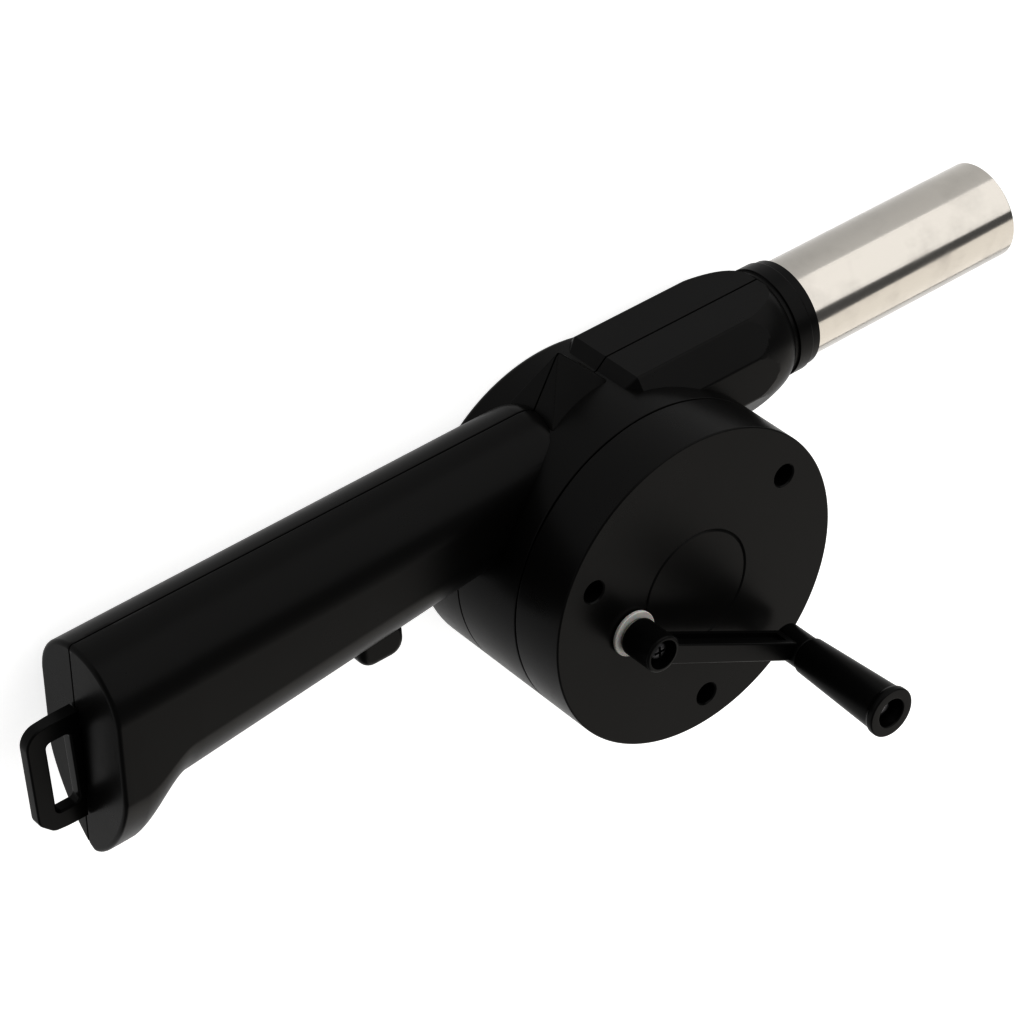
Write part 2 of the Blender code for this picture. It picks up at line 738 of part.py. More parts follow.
def make_shafts(steel, brass):
    """Fan shaft, idler pins, the crank gear's foot pin and the fan's bush."""
    first, second = idler_places()
    top = COVER_TOP_Z - WALL - SEAM_GAP
    shaft = cylinder("shaft", FAN_SHAFT_RADIUS, IMPELLER_LOW_Z - WALL / 2.0, top)
    finished(shaft, "fan_shaft", steel)
    seat = BULKHEAD_Z + SEAM_GAP - SOCKET_DEPTH + WALL
    for name, place in (("first_idler_pin", first), ("second_idler_pin", second)):
        finished(cylinder("pin", IDLER_PIN_RADIUS, seat, top, place), name, steel)
    high = level_z(2) + 2.0 * WALL - SEAM_GAP
    foot = cylinder("foot", IDLER_PIN_RADIUS, seat, high, (CRANK_X, CRANK_Y))
    finished(foot, "crank_gear_pin", steel)
    inner = FAN_SHAFT_RADIUS + RUN_GAP
    low = BULKHEAD_Z - BUSH_FLANGE - SEAM_GAP
    profile = [
        (inner, low), (BUSH_FLANGE_RADIUS, low), (BUSH_FLANGE_RADIUS, low + BUSH_FLANGE),
        (BUSH_RADIUS, low + BUSH_FLANGE), (BUSH_RADIUS, BULKHEAD_Z + WALL), (inner, BULKHEAD_Z + WALL),
    ]
    finished(turned("bush", profile, 20), "fan_bush", brass)


def blade_outline(angle):
    """One blade of the impeller: a strip bent backwards as it runs outwards."""
    steps = 3
    inner = IMPELLER_HUB_RADIUS - BLADE_ROOT
    outer = IMPELLER_RADIUS - RUN_GAP
    middle = []
    for k in range(steps + 1):
        share = k / steps
        radius = inner + (outer - inner) * share
        bend = angle - BLADE_SWEEP * share ** 1.4
        middle.append(Vector(polar((0.0, 0.0), radius, bend)))
    left = []
    right = []
    for k, point in enumerate(middle):
        before = middle[max(k - 1, 0)]
        after = middle[min(k + 1, steps)]
        run = (after - before).normalized()
        across = Vector((-run.y, run.x)) * IMPELLER_BLADE / 2.0
        left.append(tuple(point + across))
        right.append(tuple(point - across))
    return right + left[::-1]


def make_impeller(plastic):
    """The fan: a back plate, a hub and bent blades whose inner corners are cut away."""
    plate_z = IMPELLER_TOP_Z - IMPELLER_PLATE
    profile = [
        (0.0, IMPELLER_LOW_Z), (IMPELLER_HUB_RADIUS, IMPELLER_LOW_Z),
        (IMPELLER_HUB_RADIUS, plate_z), (IMPELLER_RADIUS, plate_z),
        (IMPELLER_RADIUS, IMPELLER_TOP_Z), (0.0, IMPELLER_TOP_Z),
    ]
    wheel = turned("wheel", profile, 30)
    for k in range(IMPELLER_BLADES):
        outline = blade_outline(math.tau * k / IMPELLER_BLADES)
        low = IMPELLER_LOW_Z + RUN_GAP
        add(wheel, prism("blade", outline, low, plate_z + IMPELLER_PLATE / 2.0))
    inner = IMPELLER_HUB_RADIUS + BLADE_ROOT
    eye = [
        (inner, IMPELLER_LOW_Z - WALL),
        (IMPELLER_EYE_RADIUS + IMPELLER_EYE_FLARE, IMPELLER_LOW_Z - WALL),
        (IMPELLER_EYE_RADIUS, IMPELLER_LOW_Z + IMPELLER_EYE_STEP),
        (inner, IMPELLER_LOW_Z + IMPELLER_EYE_DEPTH),
    ]
    cut(wheel, turned("eye", eye, 24))
    cut(wheel, cylinder("bore", FAN_SHAFT_RADIUS + SEAM_GAP, 0.0, BULKHEAD_Z))
    return finished(wheel, "impeller", plastic)


def slot_outline(angle):
    """One radial intake slot with round ends."""
    radius = SLOT_WIDTH / 2.0
    outline = []
    for reach, first in ((SLOT_OUTER_RADIUS, -90.0), (SLOT_INNER_RADIUS, 90.0)):
        for k in range(4):
            turn = math.radians(first + 60.0 * k)
            outline.append((reach + radius * math.cos(turn), radius * math.sin(turn)))
    turned_points = []
    for x, y in outline:
        turned_points.append((
            x * math.cos(angle) - y * math.sin(angle),
            x * math.sin(angle) + y * math.cos(angle),
        ))
    return turned_points


def loop_outline(clearance, tongue_only=False):
    """Outline of the hanging loop and the tongue that the halves trap."""
    middle = (LOOP_LOW_Y + LOOP_HIGH_Y) / 2.0
    foot_x = butt_x(middle + LOOP_FOOT_HALF) + WALL + SEAM_GAP
    narrow = LOOP_TONGUE_HALF + clearance
    wide = LOOP_FOOT_HALF + clearance
    end_x = foot_x + LOOP_FOOT_LENGTH + clearance
    tongue = [
        (foot_x - clearance, middle + narrow), (foot_x - clearance, middle + wide),
        (end_x, middle + wide), (end_x, middle - wide),
        (foot_x - clearance, middle - wide), (foot_x - clearance, middle - narrow),
    ]
    if tongue_only:
        outer_x = HANDLE_BUTT_X - BUTT_SLANT - WALL
        return [(outer_x, middle + narrow)] + tongue + [(outer_x, middle - narrow)]
    return tongue


def butt_x(y):
    """Where the slanted butt lies at a height."""
    drop = (HANDLE_BACK_Y - y) / (HANDLE_BACK_Y - BUTT_TOE_Y)
    return HANDLE_BUTT_X - BUTT_SLANT * drop


def make_loop(plastic):
    """The hanging loop: a flat frame on the butt with a tongue and foot inside it."""
    high = LOOP_HIGH_Y
    low = LOOP_LOW_Y
    left = LOOP_OUTER_X
    outline = [(butt_x(high) - SEAM_GAP, high)]
    for k in range(5):
        angle = math.radians(90.0 + 90.0 * k / 4.0)
        outline.append(polar((left + LOOP_CORNER, high - LOOP_CORNER), LOOP_CORNER, angle))
    outline += [(left, low + LOOP_CHAMFER), (left + LOOP_CHAMFER, low)]
    outline.append((butt_x(low) - SEAM_GAP, low))
    middle = (low + high) / 2.0
    outline.append((butt_x(middle - LOOP_TONGUE_HALF) - SEAM_GAP, middle - LOOP_TONGUE_HALF))
    outline += loop_outline(0.0)[::-1]
    outline.append((butt_x(middle + LOOP_TONGUE_HALF) - SEAM_GAP, middle + LOOP_TONGUE_HALF))
    low_z = SPLIT_Z - LOOP_THICKNESS / 2.0
    high_z = SPLIT_Z + LOOP_THICKNESS / 2.0
    frame = prism("frame", outline, low_z, high_z)
    window_right = butt_x(middle) - SEAM_GAP - LOOP_INNER_BAR
    window = [
        (left + LOOP_BAR, low + LOOP_BAR), (window_right, low + LOOP_BAR),
        (window_right, high - LOOP_BAR), (left + LOOP_BAR, high - LOOP_BAR),
    ]
    cut(frame, prism("window", window, low_z - WALL, high_z + WALL))
    return finished(frame, "hanging_loop", plastic)


def screw_boss(place, low_z, high_z):
    """A round post that carries one screw."""
    return cylinder("boss", SCREW_BOSS_RADIUS, low_z, high_z, place, 16)


def pilot_hole(place, low_z, high_z):
    """The narrow hole that a screw's shank goes through."""
    return cylinder("pilot", SCREW_SHANK_RADIUS + RUN_GAP, low_z, high_z, place, 10)


def loop_slit():
    """The slot through the butt for the hanging loop's tongue."""
    half = LOOP_THICKNESS / 2.0 + SEAM_GAP
    return prism("slit", loop_outline(SEAM_GAP, True), SPLIT_Z - half, SPLIT_Z + half)


def make_rear_shell(plastic):
    """The back half: intake slots, handle half, duct half and screw wells."""
    top = SPLIT_Z - SEAM_GAP / 2.0
    shell = outer_form("rear")
    add(shell, spigot_form("spigot"), solver=SHELL_SOLVER)
    cut(shell, inner_form("hollow"), solver=SHELL_SOLVER)
    for place in SHELL_SCREW_PLACES.values():
        low = WALL / 2.0
        if math.hypot(*place) > DRUM_RADIUS:
            low = handle_z(place[0]) - half_width(place[0]) + WALL / 2.0
        add(shell, screw_boss(place, low, SPLIT_Z + WALL), solver=SHELL_SOLVER)
    reach = 0.2
    keep_inside(shell, box("half", (-reach, -reach, -reach), (reach, reach, top)), solver=SHELL_SOLVER)
    for number in range(SLOT_COUNT):
        angle = math.tau * (number + 0.5) / SLOT_COUNT
        cut(shell, prism("slot", slot_outline(angle), -WALL, 2.0 * WALL), solver=SHELL_SOLVER)
    for place in SHELL_SCREW_PLACES.values():
        cut(
            shell, cylinder("well", SCREW_HOLE_RADIUS, -WALL, SHELL_SCREW_FLOOR_Z, place),
            solver=SHELL_SOLVER,
        )
        cut(shell, pilot_hole(place, SHELL_SCREW_FLOOR_Z - WALL, SPLIT_Z + WALL), solver=SHELL_SOLVER)
    cut(shell, loop_slit(), solver=SHELL_SOLVER)
    return finished(shell, "rear_shell", plastic)


def make_front_shell(plastic):
    """The front half: bulkhead with the gear seats, handle half and duct half."""
    bottom = SPLIT_Z + SEAM_GAP / 2.0
    first, second = idler_places()
    shell = outer_form("front")
    add(shell, spigot_form("spigot"), solver=SHELL_SOLVER)
    cut(shell, inner_form("hollow"), solver=SHELL_SOLVER)
    plate = cylinder(
        "plate", DRUM_RADIUS - WALL / 2.0, BULKHEAD_Z, BULKHEAD_Z + WALL, segments=DRUM_SEGMENTS,
    )
    add(shell, plate, solver=SHELL_SOLVER)
    tops = {}
    for name, place in SHELL_SCREW_PLACES.items():
        tops[name] = BULKHEAD_Z + WALL / 2.0
        if math.hypot(*place) > DRUM_RADIUS:
            tops[name] = handle_z(place[0]) + half_width(place[0]) - WALL / 2.0
        add(shell, screw_boss(place, SPLIT_Z - WALL, tops[name]), solver=SHELL_SOLVER)
    reach = 0.2
    keep_inside(
        shell, box("half", (-reach, -reach, bottom), (reach, reach, COVER_SEAM_Z + WALL)),
        solver=SHELL_SOLVER,
    )
    for name, place in SHELL_SCREW_PLACES.items():
        cut(shell, pilot_hole(place, SPLIT_Z - WALL, tops[name] - WALL), solver=SHELL_SOLVER)
    for place in cover_screw_places():
        high = COVER_SCREW_FLOOR_Z - SCREW_FLOOR - SEAM_GAP
        add(shell, screw_boss(place, BULKHEAD_Z + WALL / 2.0, high), solver=SHELL_SOLVER)
        cut(shell, pilot_hole(place, high - SCREW_LENGTH, high + WALL), solver=SHELL_SOLVER)
    floor = BULKHEAD_Z + WALL - SOCKET_DEPTH
    top = BULKHEAD_Z + WALL + LEVEL_GAP / 2.0
    seat = IDLER_PIN_RADIUS + SEAM_GAP
    for place in (first, second, (CRANK_X, CRANK_Y)):
        add(
            shell, cylinder("socket", seat + SOCKET_WALL, floor - SOCKET_WALL, top, place),
            solver=SHELL_SOLVER,
        )
        cut(shell, cylinder("seat", seat, floor, level_z(1), place), solver=SHELL_SOLVER)
    cut(
        shell, cylinder("bush", BUSH_RADIUS + SEAM_GAP, BULKHEAD_Z - WALL, level_z(0), segments=20),
        solver=SHELL_SOLVER,
    )
    cut(shell, loop_slit(), solver=SHELL_SOLVER)
    return finished(shell, "front_shell", plastic)


def make_gear_cover(plastic):
    """The round cover with its screw wells and the upper seats of the gear train."""
    low = COVER_SEAM_Z + SEAM_GAP
    rim = DRUM_RADIUS - FRONT_CHAMFER
    inner = DRUM_RADIUS - WALL
    ceiling = COVER_TOP_Z - WALL
    profile = [
        (0.0, ceiling), (inner, ceiling), (inner, low), (DRUM_RADIUS, low),
        (DRUM_RADIUS, COVER_TOP_Z - FRONT_CHAMFER), (rim, COVER_TOP_Z), (0.0, COVER_TOP_Z),
    ]
    cover = turned("cover", profile, DRUM_SEGMENTS)
    floor = COVER_SCREW_FLOOR_Z - SCREW_FLOOR
    for place in cover_screw_places():
        add(cover, screw_boss(place, floor, COVER_TOP_Z - WALL / 2.0))
        well_top = COVER_TOP_Z + WALL
        cut(cover, cylinder("well", SCREW_HOLE_RADIUS, COVER_SCREW_FLOOR_Z, well_top, place, 20))
        cut(cover, pilot_hole(place, floor - WALL, COVER_SCREW_FLOOR_Z + WALL))
    first, second = idler_places()
    foot = level_z(2) + GEAR_THICKNESS + LEVEL_GAP / 2.0
    buried = ceiling + WALL / 2.0
    seats = [(first, IDLER_PIN_RADIUS), (second, IDLER_PIN_RADIUS), ((0.0, 0.0), FAN_SHAFT_RADIUS)]
    for place, radius in seats:
        outer = radius + SEAM_GAP + SOCKET_WALL
        add(cover, cylinder("socket", outer, foot, buried, place))
        cut(cover, cylinder("seat", radius + SEAM_GAP, foot - WALL, ceiling, place))
    crank = (CRANK_X, CRANK_Y)
    hole = CRANK_SHAFT_RADIUS + RUN_GAP
    add(cover, cylinder("collar", hole + SOCKET_WALL, foot, buried, crank, ROUND_SEGMENTS))
    cut(cover, cylinder("hole", hole, foot - WALL, COVER_TOP_Z + WALL, crank, ROUND_SEGMENTS))
    return finished(cover, "gear_cover", plastic)


def make_screw(name, place, floor_z, material, upwards=True):
    """A pan-head screw standing on the floor of its well."""
    way = 1.0 if upwards else -1.0
    seat = floor_z + way * SEAM_GAP
    tip = seat - way * (SCREW_LENGTH - WALL / 2.0)
    crown = seat + way * SCREW_HEAD_HEIGHT
    profile = [
        (0.0, tip), (SCREW_SHANK_RADIUS, tip + way * SCREW_POINT),
        (SCREW_SHANK_RADIUS, seat), (SCREW_HEAD_RADIUS, seat),
        (SCREW_HEAD_RADIUS, seat + way * SCREW_HEAD_HEIGHT * 0.55),
        (SCREW_HEAD_RADIUS * 0.7, crown), (0.0, crown),
    ]
    screw = turned("screw", profile, 8, place)
    deep = seat + way * SCREW_HEAD_HEIGHT * 0.45
    high = crown + way * SCREW_HEAD_HEIGHT
    cut(screw, prism("cross", cross_outline(place), min(deep, high), max(deep, high)))
    return finished(screw, name, material)


def cross_outline(place):
    """Outline of the cross recess in a screw's head."""
    arm = SCREW_HEAD_RADIUS * CROSS_REACH
    thin = SCREW_HEAD_RADIUS * CROSS_HALF
    quarter = [(arm, -thin), (arm, thin), (thin, thin)]
    outline = []
    for k in range(4):
        angle = math.pi / 2.0 * k
        for x, y in quarter:
            turn = math.atan2(y, x) + angle
            outline.append(polar(place, math.hypot(x, y), turn))
    return outline


def make_screws(steel):
    """Three cover screws, three shell screws and the crank's own screw."""
    for number, place in enumerate(cover_screw_places(), start=1):
        make_screw(f"cover_screw_{number}", place, COVER_SCREW_FLOOR_Z, steel)
    for name, place in SHELL_SCREW_PLACES.items():
        make_screw(f"{name}_screw", place, SHELL_SCREW_FLOOR_Z, steel, upwards=False)
    make_screw("crank_screw", (CRANK_X, CRANK_Y), STUB_TOP_Z, steel)


def make_nozzle(steel, plastic):
    """The steel tube over the spigot and the stepped collar round its root."""
    start = DUCT_END_X + SEAM_GAP
    inner = TUBE_RADIUS - TUBE_WALL
    wall = [(inner, start), (TUBE_RADIUS, start), (TUBE_RADIUS, TUBE_END_X), (inner, TUBE_END_X)]
    tube = lay_along_x(turned("tube", wall, 36))
    finished(tube, "nozzle_tube", steel)
    bore = TUBE_RADIUS + SEAM_GAP
    step = start + COLLAR_STEP_X
    end = start + COLLAR_LENGTH
    small = COLLAR_RADIUS - COLLAR_STEP
    bevel = 0.3 * MM
    profile = [
        (bore, start), (COLLAR_RADIUS, start), (COLLAR_RADIUS, step - bevel),
        (COLLAR_RADIUS - bevel, step), (small, step), (small, end - bevel),
        (small - bevel, end), (bore, end),
    ]
    finished(lay_along_x(turned("collar", profile, 28)), "nozzle_collar", plastic)


def arm_outline(half):
    """Outline of the crank's bar between its hub and its eye."""
    slim = half * ARM_TAPER
    return [(0.0, -half), (ARM_LENGTH, -slim), (ARM_LENGTH, slim), (0.0, half)]


def make_crank(plastic, nylon, steel):
    """Washer, arm and the pin that the knob turns on."""
    crank = (CRANK_X, CRANK_Y)
    low = COVER_TOP_Z + SEAM_GAP
    inner = CRANK_SHAFT_RADIUS + RUN_GAP
    high = washer_top_z()
    ring = [(inner, low), (WASHER_RADIUS, low), (WASHER_RADIUS, high), (inner, high)]
    finished(turned("washer", ring, ROUND_SEGMENTS, crank), "hub_washer", nylon)

    foot = washer_top_z() + 2.0 * SEAM_GAP
    arm = cylinder("arm", ARM_HUB_RADIUS, foot, ARM_TOP_Z, segments=ROUND_SEGMENTS)
    add(arm, prism("bar", arm_outline(ARM_WIDTH / 2.0), ARM_LOW_Z, ARM_TOP_Z))
    for side in (-1.0, 1.0):
        edge = side * ARM_WIDTH / 2.0
        floor = side * (ARM_WIDTH / 2.0 - ARM_GROOVE)
        near = ARM_HUB_RADIUS + ARM_FLANGE
        far = ARM_LENGTH - ARM_EYE_RADIUS - ARM_FLANGE
        corner_low = (near, min(edge * 1.2, floor), ARM_LOW_Z + ARM_FLANGE)
        corner_high = (far, max(edge * 1.2, floor), ARM_TOP_Z - ARM_FLANGE)
        cut(arm, box("groove", corner_low, corner_high))
    eye = (ARM_LENGTH, 0.0)
    add(arm, cylinder("eye", ARM_EYE_RADIUS, ARM_LOW_Z, ARM_EYE_TOP_Z, eye, 24))
    half = SQUARE_STUB / 2.0 + SEAM_GAP
    cut(arm, box("socket", (-half, -half, foot - WALL), (half, half, STUB_TOP_Z + SEAM_GAP)))
    recess_low = STUB_TOP_Z - WALL / 2.0
    cut(arm, cylinder("recess", HUB_RECESS_RADIUS, recess_low, ARM_TOP_Z + WALL, segments=20))
    hole = KNOB_PIN_RADIUS + SEAM_GAP
    cut(arm, cylinder("hole", hole, ARM_LOW_Z - WALL, ARM_EYE_TOP_Z + WALL, eye))
    arm.data.transform(Matrix.Translation((*crank, 0.0)) @ Matrix.Rotation(ARM_ANGLE, 4, "Z"))
    finished(arm, "crank_arm", plastic)

    place = knob_place()
    head = knob_low_z() + KNOB_LENGTH - KNOB_WELL_DEPTH + RUN_GAP
    profile = [
        (0.0, ARM_LOW_Z), (KNOB_PIN_RADIUS, ARM_LOW_Z), (KNOB_PIN_RADIUS, head),
        (KNOB_PIN_HEAD_RADIUS, head), (KNOB_PIN_HEAD_RADIUS, head + KNOB_PIN_HEAD * 0.5),
        (KNOB_PIN_HEAD_RADIUS * 0.6, head + KNOB_PIN_HEAD), (0.0, head + KNOB_PIN_HEAD),
    ]
    finished(turned("pin", profile, 16, place), "knob_pin", steel)


def knob_place():
    """Centre of the knob, at the end of the arm."""
    return polar((CRANK_X, CRANK_Y), ARM_LENGTH, ARM_ANGLE)


def knob_low_z():
    """Lower end of the knob, just clear of the arm's eye."""
    return ARM_EYE_TOP_Z + RUN_GAP


def make_knob(plastic):
    """The tapered knob with a rim and a well for the head of its pin."""
    low = knob_low_z()
    high = low + KNOB_LENGTH
    bore = KNOB_PIN_RADIUS + RUN_GAP
    round_edge = 0.8 * MM
    profile = [
        (bore, low), (KNOB_BASE_RADIUS - round_edge, low), (KNOB_BASE_RADIUS, low + round_edge),
        (KNOB_END_RADIUS, high - KNOB_RIM - 0.5 * MM), (KNOB_RIM_RADIUS, high - KNOB_RIM),
        (KNOB_RIM_RADIUS, high - 0.6 * MM), (KNOB_RIM_RADIUS - 0.6 * MM, high),
        (KNOB_WELL_RADIUS, high), (KNOB_WELL_RADIUS, high - KNOB_WELL_DEPTH),
        (bore, high - KNOB_WELL_DEPTH),
    ]
    return finished(turned("knob", profile, 20, knob_place()), "crank_knob", plastic)


def set_origin(name, place):
    """Put a moving piece's origin on its joint's axis."""
    item = bpy.data.objects[name]
    shift = Vector(place)
    item.data.transform(Matrix.Translation(-shift))
    item.location = shift


def main():
    """Build every piece of the blower."""
    clear_scene()
    black = finish("black_shell_plastic", (0.012, 0.012, 0.013), 0.42)
    gloss = finish("black_crank_plastic", (0.010, 0.010, 0.011), 0.28)
    white = finish("white_nylon", (0.80, 0.79, 0.76), 0.45)
    gears = finish("natural_acetal", (0.72, 0.70, 0.64), 0.40)
    steel = finish("polished_steel", (0.62, 0.60, 0.57), 0.22, 1.0)
    zinc = finish("zinc_screw_steel", (0.55, 0.55, 0.56), 0.35, 1.0)
    brass = finish("sintered_brass", (0.55, 0.42, 0.20), 0.40, 1.0)

    make_rear_shell(black)
    make_front_shell(black)
    make_gear_cover(black)
    make_loop(black)
    make_nozzle(steel, black)
    make_impeller(black)
    make_gears(gears)
    make_shafts(zinc, brass)
    make_screws(zinc)
    make_crank(gloss, white, zinc)
    make_knob(gloss)

    first, second = idler_places()
    crank = (CRANK_X, CRANK_Y, 0.0)
    for name in ("crank_gear", "crank_arm", "crank_screw"):
        set_origin(name, crank)
    set_origin("crank_knob", (*knob_place(), 0.0))
    set_origin("first_idler_gear", (*first, 0.0))
    set_origin("second_idler_gear", (*second, 0.0))


main()
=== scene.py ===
# %% [markdown]
# # A hand-cranked barbecue blower
#
# The blower is a round drum with a moulded handle on one side and a steel air tube on the
# other. A crank on the drum's front drives a fan inside it through a train of gears.
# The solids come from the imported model. This lesson dresses them: it models the pieces that
# show at a finer scale, gives every piece its finish, and sets the camera, floor and lights.

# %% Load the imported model
import math

import bmesh
import bpy
from mathutils import Matrix, Vector


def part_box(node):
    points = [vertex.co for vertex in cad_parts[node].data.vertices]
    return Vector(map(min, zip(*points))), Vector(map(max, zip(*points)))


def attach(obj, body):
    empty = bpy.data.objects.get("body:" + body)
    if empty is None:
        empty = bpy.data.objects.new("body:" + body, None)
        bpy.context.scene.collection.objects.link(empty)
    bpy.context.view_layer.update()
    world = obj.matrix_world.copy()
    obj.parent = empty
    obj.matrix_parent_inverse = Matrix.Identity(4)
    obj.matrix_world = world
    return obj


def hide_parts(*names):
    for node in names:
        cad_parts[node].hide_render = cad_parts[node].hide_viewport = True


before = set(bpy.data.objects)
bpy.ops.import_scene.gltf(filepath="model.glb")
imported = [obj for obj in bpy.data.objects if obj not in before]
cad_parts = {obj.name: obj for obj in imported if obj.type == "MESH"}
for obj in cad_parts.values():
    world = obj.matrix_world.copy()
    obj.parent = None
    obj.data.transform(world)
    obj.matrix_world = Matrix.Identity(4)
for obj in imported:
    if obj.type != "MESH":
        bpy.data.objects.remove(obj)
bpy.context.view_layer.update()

MM = 0.001

# %% [markdown]
# ## Sizes
#
# Every new piece has to sit exactly where its solid sits, or the crank would wobble and the
# seams would open. The sizes could be typed in again, but reading them from the solids'
# boxes keeps both models in step, so only sizes that no box tells are written here.

# %% Read the main sizes from the solids
rear_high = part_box("rear_shell")[1]
front_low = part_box("front_shell")[0]
cover_low, cover_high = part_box("gear_cover")
tube_low, tube_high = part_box("nozzle_tube")
collar_low, collar_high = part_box("nozzle_collar")
loop_low, loop_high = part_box("hanging_loop")

DRUM = (cover_high.x - cover_low.x) / 2.0
WALL = 2.0 * MM
GAP = 0.3 * MM
SPLIT_Z = (rear_high.z + front_low.z) / 2.0
SEAM_Z = cover_low.z - GAP
FACE_Z = cover_high.z
TUBE_Y = (tube_low.y + tube_high.y) / 2.0
TUBE_R = (tube_high.y - tube_low.y) / 2.0
BULKHEAD_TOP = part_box("fan_bush")[1].z
HEAD = 1.6 * MM
COVER_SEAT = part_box("cover_screw_1")[1].z - HEAD
SHELL_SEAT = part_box("drum_screw")[0].z + HEAD
CRANK_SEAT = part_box("crank_screw")[1].z - HEAD
print("drum radius", round(DRUM, 4), "split", round(SPLIT_Z, 4), "face", round(FACE_Z, 4))

# %% [markdown]
# ## Tools for meshes
#
# Most pieces of a moulded tool are either turned, like the drum, or cut from a flat outline,
# like the hanging loop. Both start from a chain of a few points. Bevelling the points of the
# chain rounds its corners before the spin or the extrusion, which is cleaner than bevelling
# hundreds of edges afterwards.

# %% Chains and bevels
def chain(points, closed):
    """A bmesh that holds one chain of edges."""
    form = bmesh.new()
    corners = [form.verts.new(point) for point in points]
    for pair in zip(corners, corners[1:]):
        form.edges.new(pair)
    if closed:
        form.edges.new((corners[-1], corners[0]))
    return form


def round_corners(form, picked, radius, segments=3):
    """Round the picked corners of a chain."""
    bmesh.ops.bevel(
        form, geom=picked, offset=radius, segments=segments, profile=0.5,
        affect="VERTICES", material=-1, clamp_overlap=True,
    )


def soften(form, edges, size, segments, clamp=True):
    """Bevel edges of a form."""
    bmesh.ops.bevel(
        form, geom=edges, offset=size, segments=segments, profile=0.5,
        affect="EDGES", material=-1, clamp_overlap=clamp,
    )


def rectangle(left, right, low, high):
    """The corners of a rectangle, as an outline."""
    return [(left, low), (right, low), (right, high), (left, high)]


print("tools: chain, round_corners, soften, rectangle")

# %% Turned forms
def spun(form, steps, centre=(0.0, 0.0)):
    """Spin a chain once round the Z axis and move it to a centre."""
    bmesh.ops.spin(
        form, geom=form.verts[:] + form.edges[:], cent=(0.0, 0.0, 0.0),
        axis=(0.0, 0.0, 1.0), angle=math.tau, steps=steps, use_merge=True,
    )
    bmesh.ops.remove_doubles(form, verts=form.verts, dist=0.0005 * MM)
    bmesh.ops.translate(form, verts=form.verts, vec=(*centre, 0.0))
    bmesh.ops.recalc_face_normals(form, faces=form.faces)
    return form


def turned(points, steps, rounding=0.0, centre=(0.0, 0.0)):
    """Spin (radius, z) points round an upright axis, with the corners rounded first."""
    ring = min(points[0][0], points[-1][0]) > 0.0
    form = chain([(radius, 0.0, z) for radius, z in points], ring)
    if rounding > 0.0:
        picked = [corner for corner in form.verts if corner.co.x > 0.05 * MM]
        round_corners(form, picked, rounding)
    return spun(form, steps, centre)


def upright(radius, low, high, centre=(0.0, 0.0), steps=48):
    """A plain round bar, used as a post or as a drill."""
    form = bmesh.new()
    bmesh.ops.create_cone(
        form, cap_ends=True, segments=steps, radius1=radius, radius2=radius,
        depth=high - low,
    )
    bmesh.ops.translate(form, verts=form.verts, vec=(*centre, (low + high) / 2.0))
    return form


def lay_on_tube(form):
    """Turn an upright form so that its axis lies on the air tube's axis."""
    turn = Matrix.Rotation(math.radians(90.0), 4, "Y")
    place = Matrix.Translation((0.0, TUBE_Y, SPLIT_Z))
    bmesh.ops.transform(form, matrix=place @ turn, verts=form.verts)
    return form


print("tools: spun, turned, upright, lay_on_tube")

# %% Slabs
def raised(form, height):
    """Fill a closed chain with a face and raise it to a block."""
    bmesh.ops.contextual_create(form, geom=form.edges[:])
    grown = bmesh.ops.extrude_face_region(form, geom=form.faces[:])
    top = [item for item in grown["geom"] if isinstance(item, bmesh.types.BMVert)]
    bmesh.ops.translate(form, verts=top, vec=(0.0, 0.0, height))
    bmesh.ops.recalc_face_normals(form, faces=form.faces)
    return form


def slab(points, low, high, corner=0.0, edge=0.0, segments=3):
    """Raise an (x, y) outline from low to high, with round corners and soft edges."""
    form = chain([(x, y, low) for x, y in points], True)
    if corner > 0.0:
        round_corners(form, form.verts[:], corner, 6)
    raised(form, high - low)
    if edge > 0.0:
        caps = {face for face in form.faces if abs(face.normal.z) > 0.99}
        rims = [rim for rim in form.edges if caps & set(rim.link_faces)]
        soften(form, rims, edge, segments)
    return form


print("tools: raised, slab")

# %% [markdown]
# Holes, wells and the join between handle and drum could be modelled vertex by vertex. A
# Boolean does it from simple forms, as a mould is cut, and it keeps every form closed.
# Each Boolean is applied at once, so that the finished piece is plain mesh.

# %% Join and cut pieces
def solid(form, name="tool"):
    """Turn a bmesh into an object."""
    mesh = bpy.data.meshes.new(name)
    form.to_mesh(mesh)
    form.free()
    item = bpy.data.objects.new(name, mesh)
    bpy.context.scene.collection.objects.link(item)
    return item


def combine(target, operation, *forms):
    """Apply one Boolean for each form: UNION, DIFFERENCE or INTERSECT."""
    for form in forms:
        tool = form if isinstance(form, bpy.types.Object) else solid(form)
        step = target.modifiers.new(operation, "BOOLEAN")
        step.operation = operation
        step.solver = "MANIFOLD"
        step.object = tool
        seen = target.evaluated_get(bpy.context.evaluated_depsgraph_get())
        made = bpy.data.meshes.new_from_object(seen)
        target.modifiers.clear()
        target.data = made
        bpy.data.objects.remove(tool, do_unlink=True)
    return target


print("tools: solid, combine")

# %% [markdown]
# A Boolean leaves slivers and loose shading. So each finished piece has its near-equal
# corners merged, its edges of more than 32 degrees kept sharp, and its shading weighted by
# the size of the faces, which keeps flat sides flat beside a bevel.

# %% Finish a piece
WELD = 0.001 * MM
SHARP = math.radians(32.0)


def open_edges(item):
    """How many edges don't join exactly two faces."""
    form = bmesh.new()
    form.from_mesh(item.data)
    count = sum(1 for edge in form.edges if len(edge.link_faces) != 2)
    form.free()
    return count


